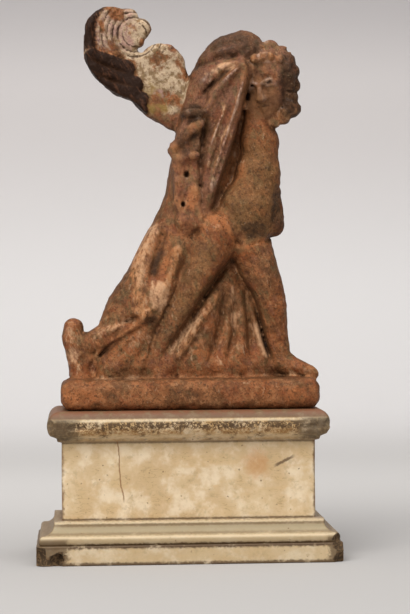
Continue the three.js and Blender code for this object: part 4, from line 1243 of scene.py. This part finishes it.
def terracotta_finish():
    """Orange-brown clay with worn slip, dark patches, dirt, painted shade and painted highlights, laid by
    the amounts painted on the mesh.
    """
    clay = Finish("worn terracotta")
    broad = clay.noise(24, 4)
    patches = clay.noise(8, 5, 0.62)
    middle = clay.noise(4.2, 5, 0.66)
    fine = clay.noise(2.0, 5, 0.7)
    specks = clay.noise(0.9, 3, 0.6)
    scuffs = clay.noise(3.0, 5, 0.72, clay.stretched((1.0, 1.0, 0.4)))
    strokes = clay.noise(1.8, 4, 0.7, clay.leaning(math.radians(30), (1.0, 1.0, 0.22)))
    recess, crest = clay.painted("recess"), clay.painted("crest")

    def broken_up(amount, grain, edge=0.16):
        """A painted amount that keeps to ragged patches."""
        return (amount + (grain - 0.5) * 2.4).between(0.5 - edge, 0.5 + edge)

    # The clay itself, in broad and middling patches
    clay.colour = clay.mix(broad.between(0.38, 0.60), rgb(0.250, 0.080, 0.026), rgb(0.150, 0.064, 0.026))
    clay.lay(patches.between(0.48, 0.60) * 0.7, rgb(0.370, 0.142, 0.054))
    clay.lay(middle.between(0.47, 0.36) * 0.45, rgb(0.085, 0.038, 0.014))
    clay.lay(middle.between(0.54, 0.66) * 0.6, rgb(0.43, 0.195, 0.085))
    cloth = clay.painted("cloth")
    clay.lay(cloth * broad.between(0.66, 0.40) * 0.75, rgb(0.190, 0.092, 0.060))
    reddened = clay.noise(11, 4, 0.6).between(0.52, 0.64)
    clay.lay(reddened * 0.5, rgb(0.235, 0.062, 0.022))
    tint = clay.noise(5, 4, 0.65, clay.leaning(math.radians(30), (1.0, 1.0, 0.6)))
    slab_top = BASE_HEIGHT + SLAB_THICKNESS
    off_slab = 0.3 + 0.7 * clay.along("Z").between(slab_top - 2.5, slab_top + 5.5)
    clay.lay(tint.between(0.53, 0.61) * off_slab * 0.6, rgb(0.135, 0.092, 0.040))
    clay.lay(tint.between(0.46, 0.38) * off_slab * 0.45, rgb(0.150, 0.058, 0.036))

    # Painted tints, strokes and specks
    olive = broken_up(clay.painted("olive") * 0.8, patches * 0.4 + middle * 0.6, 0.4)
    clay.lay(olive * 0.75, rgb(0.155, 0.082, 0.030))
    orange = broken_up(clay.painted("orange") * 0.8, fine * 0.5 + middle * 0.5, 0.3)
    clay.lay(orange * 0.75, rgb(0.43, 0.150, 0.052))
    clay.lay(strokes.between(0.55, 0.66) * 0.45, rgb(0.38, 0.165, 0.066))
    clay.lay(strokes.between(0.45, 0.34) * 0.5, rgb(0.062, 0.028, 0.012))
    clay.lay(fine.between(0.52, 0.62) * 0.55, rgb(0.066, 0.029, 0.013))
    clay.lay(fine.between(0.47, 0.37) * 0.3, rgb(0.33, 0.165, 0.068))
    clay.lay(specks.between(0.43, 0.33) * 0.6, rgb(0.050, 0.022, 0.010))

    # Painted shade in deep folds and on sides that turn away, then ridges and edges lightened by wear and a
    # painted highlight, and slip
    clay.lay(clay.painted("shade") * (0.5 + middle * 0.5), rgb(0.080, 0.033, 0.012))
    # Painted shade on sides that turn away from the front
    clay.lay(clay.painted("turned") * (0.35 + patches * 0.6), rgb(0.090, 0.038, 0.015))
    # Broad ridges lightened by wear and a painted highlight
    clay.lay(clay.painted("ridge") * scuffs.between(0.40, 0.60) * 0.5, rgb(0.41, 0.185, 0.074))
    # Worn edges with a painted highlight, pale grey on the cloth
    edge = crest.between(0.34, 0.75) * (scuffs * 0.6 + strokes * 0.4).between(0.42, 0.56)
    rubbed_and_highlit = clay.mix(cloth, rgb(0.46, 0.205, 0.082), rgb(0.42, 0.265, 0.185))
    clay.lay(edge * 0.85, rubbed_and_highlit)
    slip = broken_up(clay.painted("slip") * 0.7, fine * 0.3 + scuffs * 0.4 + strokes * 0.3, 0.25)
    clay.lay(slip * 0.85, rgb(0.60, 0.345, 0.190))
    stray = broken_up(crest * 0.25 + 0.12, scuffs, 0.1)
    clay.lay(stray * 0.5, rgb(0.45, 0.27, 0.155))

    # The wing: pale and pink on the inside, dark under the coverts and round the tip
    cream = clay.mix(middle.between(0.40, 0.54), rgb(0.25, 0.165, 0.085), rgb(0.56, 0.42, 0.28))
    cream = clay.mix(fine.between(0.55, 0.65) * 0.55, cream, rgb(0.19, 0.105, 0.045))
    pink = clay.mix(broken_up(clay.painted("wing_pink"), fine, 0.4), cream, rgb(0.43, 0.255, 0.205))
    pale = clay.mix(broken_up(clay.painted("wing_olive"), middle, 0.4), pink, rgb(0.25, 0.155, 0.045))
    pale_share = broken_up(clay.painted("wing_pale") * 0.85, fine * 0.5 + scuffs * 0.5, 0.3)
    clay.lay(pale_share * 0.92, pale)
    dark_share = broken_up(clay.painted("wing_dark") * 1.2, fine, 0.35)
    dark = clay.mix(strokes.between(0.53, 0.66), rgb(0.024, 0.010, 0.005), rgb(0.085, 0.034, 0.017))
    clay.lay(dark_share, dark)

    # Dark patches, the face with painted shade along its lid and mouth lines, dirt and painted shade in
    # hollows, and chalk
    # Dark patches, with painted shade along the recess on the left
    dark_patches = broken_up(clay.painted("dark_patches") * 0.9, patches * 0.4 + middle * 0.6, 0.4)
    clay.lay(dark_patches * 0.8, rgb(0.036, 0.019, 0.010))
    clay.lay(clay.painted("face") * 0.6, rgb(0.185, 0.082, 0.034))
    # Painted shade along the lids and the mouth line
    clay.lay(clay.painted("face_line_shade") * 0.8, rgb(0.045, 0.020, 0.009))
    # Dirt and painted shade in hollows and fold valleys
    dirt_and_shade = (recess + (fine - 0.5) * 0.9).between(0.2, 0.7)
    clay.lay(dirt_and_shade * 0.85, rgb(0.042, 0.017, 0.007))
    chalk = specks.between(0.60, 0.70) * patches.between(0.44, 0.58) * (1.0 - dark_share)
    clay.lay(chalk * 0.45, rgb(0.42, 0.27, 0.15))

    height = fine * 0.5 + specks * 0.2 + scuffs * 0.6 + middle * 0.8
    clay.surface({
        "Roughness": 0.27 + 0.42 * fine,
        "Normal": clay.bump(height, 1.0, 1.2),
        "Specular IOR Level": 0.12,
        "Coat Weight": cloth * crest.between(0.30, 0.70) * 0.5,
        "Coat Roughness": 0.35,
    })
    return clay.material


def marble_finish():
    """Cream stone with brown dirt, painted shade and painted highlights in its mouldings. Heights and
    lengths are in millimetres.
    """
    stone = Finish("old cream marble")
    x, y, z = (stone.along(axis) for axis in "XYZ")
    ends, sides = x.math("ABSOLUTE"), y.math("ABSOLUTE")
    broad = stone.noise(42, 3)
    cloud = stone.noise(13, 4, 0.6)
    blotch = stone.noise(5, 5, 0.7)
    fine = stone.noise(1.7, 4, 0.68)
    grit = stone.noise(0.7, 3, 0.6)
    bedding = stone.noise(7, 4, 0.6, stone.stretched((0.35, 1.0, 1.8)))
    die_end = DIE_LENGTH / 2
    die_front = -DIE_DEPTH / 2
    dark_brown = rgb(0.080, 0.042, 0.017)
    soft_brown = rgb(0.33, 0.20, 0.090)

    def line_at(height, below, above, grain, wander):
        """A ragged band round the base, so far below and above a height in millimetres."""
        fade = 0.8
        above_line = z - height + (grain - 0.5) * wander
        started = above_line.between(-below - fade, -below * 0.5)
        return started * (1.0 - above_line.between(above * 0.5, above + fade))

    # The stone itself
    stone.colour = stone.mix(broad.between(0.35, 0.7), rgb(0.61, 0.435, 0.242), rgb(0.70, 0.535, 0.325))
    stone.lay(bedding.between(0.46, 0.68) * 0.4, rgb(0.66, 0.46, 0.235))
    stone.lay(cloud.between(0.52, 0.66) * 0.5, rgb(0.58, 0.41, 0.21))
    stone.lay(cloud.between(0.55, 0.34) * 0.6, rgb(0.90, 0.77, 0.58))
    stone.lay(blotch.between(0.56, 0.66) * 0.4, rgb(0.42, 0.31, 0.165))
    smudge = stone.noise(17, 5, 0.65).between(0.55, 0.66) * fine.between(0.38, 0.58)
    stone.lay(smudge * 0.4, rgb(0.42, 0.30, 0.155))

    # Tones that lie by height on the cornice, foot and plinth: dirt, a painted shadow under the cornice,
    # painted shade in the steps and hollow of the foot, and painted highlights on the moulding edges
    in_cornice = z.between(DIE_TOP, DIE_TOP + 1.5)
    above_foot = z.between(FOOT_TOP - 0.6, FOOT_TOP + 0.2) * (1.0 - in_cornice)
    below_die = 1.0 - z.between(FOOT_TOP - 0.6, FOOT_TOP)
    stone.lay(in_cornice * (0.35 + blotch.between(0.40, 0.60) * 0.45), rgb(0.40, 0.230, 0.080))
    on_top = z.between(BASE_HEIGHT - 4.6, BASE_HEIGHT - 3.4)
    stone.lay(on_top * (0.68 + blotch * 0.6).clamped(), rgb(0.145, 0.078, 0.036))
    dirt_middle = BASE_HEIGHT - 0.46 * CORNICE_HEIGHT
    orange_dirt = line_at(dirt_middle - 2.2, 2.6, 2.0, blotch, 6.0) * cloud.between(0.40, 0.50)
    orange_dirt = orange_dirt * (fine * 0.5 + grit * 0.5).between(0.44, 0.54)
    stone.lay(orange_dirt * 0.85, rgb(0.25, 0.115, 0.030))
    band = line_at(dirt_middle, 2.0, 3.2, blotch, 7.0) * (fine * 0.6 + grit * 0.4).between(0.42, 0.51)
    band = band * (cloud * 0.6 + blotch * 0.4).between(0.36, 0.45)
    stone.lay(band * 0.92, dark_brown)
    in_foot = below_die * z.between(PLINTH_HEIGHT - 0.6, PLINTH_HEIGHT)
    stone.lay(in_foot * 0.75, rgb(0.33, 0.245, 0.135))
    in_plinth = 1.0 - z.between(PLINTH_HEIGHT - 0.6, PLINTH_HEIGHT)
    stone.lay(in_plinth * (0.15 + fine * 0.4), rgb(0.40, 0.30, 0.170))
    # Painted shade in the hollow of the foot
    hollow = line_at(PLINTH_HEIGHT + 0.62 * FOOT_HEIGHT, 1.6, 1.6, fine, 1.0)
    stone.lay(hollow * (0.45 + 0.5 * blotch).clamped(), rgb(0.34, 0.275, 0.165))
    # Painted shadow cast by the cornice on the top of the die
    cornice_shadow = z.between(DIE_TOP - 9, DIE_TOP) * (1.0 - in_cornice)
    stone.lay(cornice_shadow * 0.4, rgb(0.50, 0.36, 0.19))
    highlights = (
        (PLINTH_HEIGHT + 0.36 * FOOT_HEIGHT, 0.5, 0.6, 0.5),
        (PLINTH_HEIGHT + 0.93 * FOOT_HEIGHT, 0.3, 0.2, 0.85),
        (BASE_HEIGHT - 4.9, 0.3, 0.3, 0.6),
        (BASE_HEIGHT - 0.82 * CORNICE_HEIGHT, 0.7, 0.7, 0.5),
    )
    for height, below, above, strength in highlights:
        stone.lay(line_at(height, below, above, fine, 1.0) * strength, rgb(0.78, 0.63, 0.42))
    # Dark lines of dirt and painted shade where the mouldings step, and at the bottom edge
    dirt_and_shade_lines = (
        (FOOT_TOP + 0.3, 0.2, 0.3, 0.8, 1.2),
        (PLINTH_HEIGHT + 0.82 * FOOT_HEIGHT, 0.4, 0.3, 0.5, 1.6),
        (PLINTH_HEIGHT + 0.45 * FOOT_HEIGHT, 0.2, 0.5, 0.4, 1.6),
        (PLINTH_HEIGHT, 1.4, 0.8, 0.95, 2.6),
        (DIE_TOP, 0.3, 1.0, 0.55, 1.6),
        (0.5, 1.0, 1.0, 0.9, 2.6),
    )
    for height, below, above, strength, wander in dirt_and_shade_lines:
        dirt_and_shade_line = line_at(height, below, above, fine, wander) * (cloud * 0.5 + blotch * 0.5).between(0.32, 0.48)
        stone.lay(dirt_and_shade_line * strength, dark_brown)

    # Dirt at the ends, and returns below the die made darker
    die_edge = (ends + (blotch - 0.5) * 6.0).between(die_end - 2.0, die_end)
    stone.lay(die_edge * above_foot * 0.8, rgb(0.16, 0.075, 0.028))
    mitre = ends - sides - (DIE_LENGTH - DIE_DEPTH) / 2 + (fine - 0.5) * 1.5
    # The returns below the die are darker
    return_side = mitre.between(-0.5, 1.0) * below_die
    stone.lay(return_side * (0.6 + 0.5 * blotch).clamped(), rgb(0.20, 0.130, 0.070))
    foot_ends = (x - 4.0).math("ABSOLUTE") + (blotch - 0.5) * 12.0 + (fine - 0.5) * 5.0
    foot_end = foot_ends.between(die_end - 1.0, die_end + 3.0)
    foot_end = foot_end * (1.0 - z.between(PLINTH_HEIGHT + 2.0, PLINTH_HEIGHT + 5.0))
    stone.lay(foot_end * 0.85, rgb(0.13, 0.080, 0.038))
    nose_end = ends + (blotch - 0.5) * 16.0 + (fine - 0.5) * 8.0
    nose_end = nose_end.between(die_end - 13.0, die_end - 4.0)
    nose_dirt = stone.mix(fine.between(0.44, 0.60), rgb(0.075, 0.046, 0.022), rgb(0.21, 0.145, 0.075))
    stone.lay(nose_end * in_cornice * (1.0 - on_top) * 0.85, nose_dirt)

    # Marks on the front of the die: a crack, a slash and a stain
    facing = 1.0 - y.between(die_front + 2.0, die_front + 6.0)
    crack_x, crack_z, crack_lean = -36.1, 40.0, 0.092
    crack = x - crack_x + (z - crack_z) * crack_lean + (cloud - 0.5) * 4.0
    crack = (1.0 - crack.math("ABSOLUTE").between(0.15, 0.55)) * facing
    crack = crack * z.between(31.0, 35.0) * (1.0 - in_cornice)
    stone.lay(crack * 0.8, rgb(0.25, 0.110, 0.035))
    slash_slope, slash_rise = 0.5, 27.5
    slash = x * slash_slope - z + slash_rise + (fine - 0.5) * 2.0
    slash = 1.0 - slash.math("ABSOLUTE").between(0.4, 1.3)
    slash = slash * x.between(45.0, 48.0) * (1.0 - x.between(54.0, 58.0)) * facing
    stone.lay(slash * 0.85, rgb(0.12, 0.065, 0.03))
    stain_x, stain_z = x - 37.0, z - 52.0
    stain = (stain_x * stain_x + stain_z * stain_z).math("SQRT") + (cloud - 0.5) * 12.0
    stain = stain + (blotch - 0.5) * 12.0 + (fine - 0.5) * 6.0
    stain = (1.0 - stain.between(3.0, 10.5)) * facing * (0.4 + fine * 1.1).clamped()
    stone.lay(stain * 0.7, rgb(0.52, 0.260, 0.090))

    # Wear, wax and broken edges
    scratches = stone.noise(2.4, 2, 0.5, stone.stretched((0.4, 1.0, 1.4)))
    scratches = 1.0 - (scratches - 0.5).math("ABSOLUTE").between(0.006, 0.02)
    scratches = scratches * cloud.between(0.52, 0.60) * above_foot
    stone.lay(scratches * 0.5, rgb(0.30, 0.18, 0.080))
    freckles = (1.0 - stone.cells(4.2).between(0.06, 0.17)) * fine.between(0.50, 0.56)
    stone.lay(freckles * 0.8, rgb(0.16, 0.085, 0.035))
    wax = z.between(BASE_HEIGHT - 4.0, BASE_HEIGHT - 0.6) * (blotch * 0.7 + broad * 0.3).between(0.42, 0.54)
    stone.lay(wax * 0.75, rgb(0.20, 0.075, 0.035))
    broken = stone.painted("broken")
    ragged = (broken + (fine - 0.5) * 1.2 + (blotch - 0.5) * 1.4).between(0.45, 0.75)
    rough_break = stone.mix(fine.between(0.44, 0.58), rgb(0.060, 0.035, 0.016), rgb(0.155, 0.092, 0.043))
    stone.lay(ragged * 0.95, rough_break)
    stone.lay(stone.painted("pitted") * fine.between(0.42, 0.54) * 0.8, dark_brown)
    stone.lay(ragged * fine.between(0.56, 0.68) * 0.5, soft_brown)

    height = fine * 0.4 + grit * 0.25 + blotch * 0.4 + broken * fine * 2.0
    stone.surface({
        "Roughness": 0.40 + 0.25 * fine + 0.30 * broken,
        "Normal": stone.bump(height, 0.4, 0.5),
        "Specular IOR Level": 0.35,
        "Subsurface Weight": 0.1,
        "Subsurface Radius": (0.004, 0.0025, 0.0015),
        "Subsurface Scale": 1.0,
    })
    return stone.material


def floor_finish():
    """Paper whose colour holds painted light and shade: greyest in front, palest where it starts to rise,
    and greyer towards the top.
    """
    paper = Finish("pale paper")
    depth, height = paper.along("Y"), paper.along("Z")
    paper.colour = paper.mix(depth.between(-50, 450), rgb(0.435, 0.420, 0.410), rgb(0.61, 0.59, 0.575))
    paper.lay(depth.between(550, 1150), rgb(0.92, 0.895, 0.885))
    paper.lay(height.between(90, 390), rgb(0.75, 0.71, 0.70))
    paper.lay(height.between(400, 560), rgb(0.56, 0.53, 0.53))
    paper.surface({"Roughness": 0.9, "Specular IOR Level": 0.2})
    return paper.material


# Setting
def make_floor():
    """A sheet of paper that lies on the table and rises behind in one sweep."""
    half_width = 2.2
    front = -1.6
    bend_start = 1.05
    bend_radius = 0.6
    rise = 2.4
    line = [(front, 0.0), (bend_start, 0.0)]
    pieces = 14
    for n in range(1, pieces + 1):
        angle = n / pieces * math.pi / 2
        line.append((bend_start + bend_radius * math.sin(angle), bend_radius * (1 - math.cos(angle))))
    line.append((bend_start + bend_radius, rise))
    places = [(side * half_width, y, z) for y, z in line for side in (-1, 1)]
    faces = [(2 * n, 2 * n + 1, 2 * n + 3, 2 * n + 2) for n in range(len(line) - 1)]
    floor = make_mesh("paper_sweep", np.array(places), faces)
    floor.data.materials.append(floor_finish())
    floor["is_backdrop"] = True


def add_light(name, place, aim, size, power, tint):
    lamp = bpy.data.lights.new(name, "AREA")
    lamp.shape = "RECTANGLE"
    lamp.size, lamp.size_y = size
    lamp.energy = power
    lamp.color = tint
    holder = bpy.data.objects.new(name, lamp)
    holder.location = place
    direction = Vector(aim) - Vector(place)
    holder.rotation_euler = direction.to_track_quat("-Z", "Y").to_euler()
    bpy.context.scene.collection.objects.link(holder)


def light_scene():
    world = bpy.data.worlds.new("studio")
    bpy.context.scene.world = world
    world.use_nodes = True
    background = world.node_tree.nodes["Background"]
    background.inputs["Color"].default_value = rgb(0.95, 0.97, 1.0)
    background.inputs["Strength"].default_value = 0.19
    add_light("window", (-0.66, -1.02, 1.14), (0.0, 0.0, 0.15), (1.1, 1.1), 21.5, (1.0, 0.985, 0.96))
    add_light("overhead", (0.10, -0.25, 1.6), (0.0, 0.05, 0.1), (1.8, 1.6), 24.0, (1.0, 0.99, 0.97))
    add_light("fill", (1.1, -1.2, 0.5), (0.0, 0.0, 0.14), (0.8, 0.8), 2.0, (1.0, 0.98, 0.96))


def place_camera():
    """The photograph's view: focal length and aim in the picture's pixels, place in steps, slight roll."""
    frame_height = 614
    focal_pixels = 2026.0
    distance = 2020.0 * STEP * MM
    eye_height = (BASE_HEIGHT + 125.4 * STEP) * MM
    sideways = 16.75 * STEP * MM
    look_down = 25.65 / focal_pixels
    azimuth = math.radians(-3.6)
    roll_angle = math.radians(-0.4)
    forward = Vector((-math.sin(azimuth), math.cos(azimuth), 0.0))
    right = Vector((math.cos(azimuth), math.sin(azimuth), 0.0))
    lens = bpy.data.cameras.new("camera")
    lens.sensor_fit = "VERTICAL"
    lens.sensor_height = 24.0
    lens.lens = focal_pixels / frame_height * lens.sensor_height
    lens.clip_start = 0.05
    camera = bpy.data.objects.new("camera", lens)
    start = Vector((FIGURE_OFFSET * MM, 0.0, eye_height))
    camera.location = start - forward * distance + right * sideways
    aim = forward + Vector((0, 0, -look_down))
    turn = aim.to_track_quat("-Z", "Y").to_matrix()
    camera.rotation_euler = (turn @ Matrix.Rotation(roll_angle, 3, "Z")).to_euler()
    bpy.context.scene.collection.objects.link(camera)
    bpy.context.scene.camera = camera


bpy.context.scene.view_settings.view_transform = "Standard"
place_camera()
light_scene()
make_floor()
make_base().data.materials.append(marble_finish())
make_figure().data.materials.append(terracotta_finish())

[[list(map(float, corner)) for corner in box] for box in (cad_box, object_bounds())]
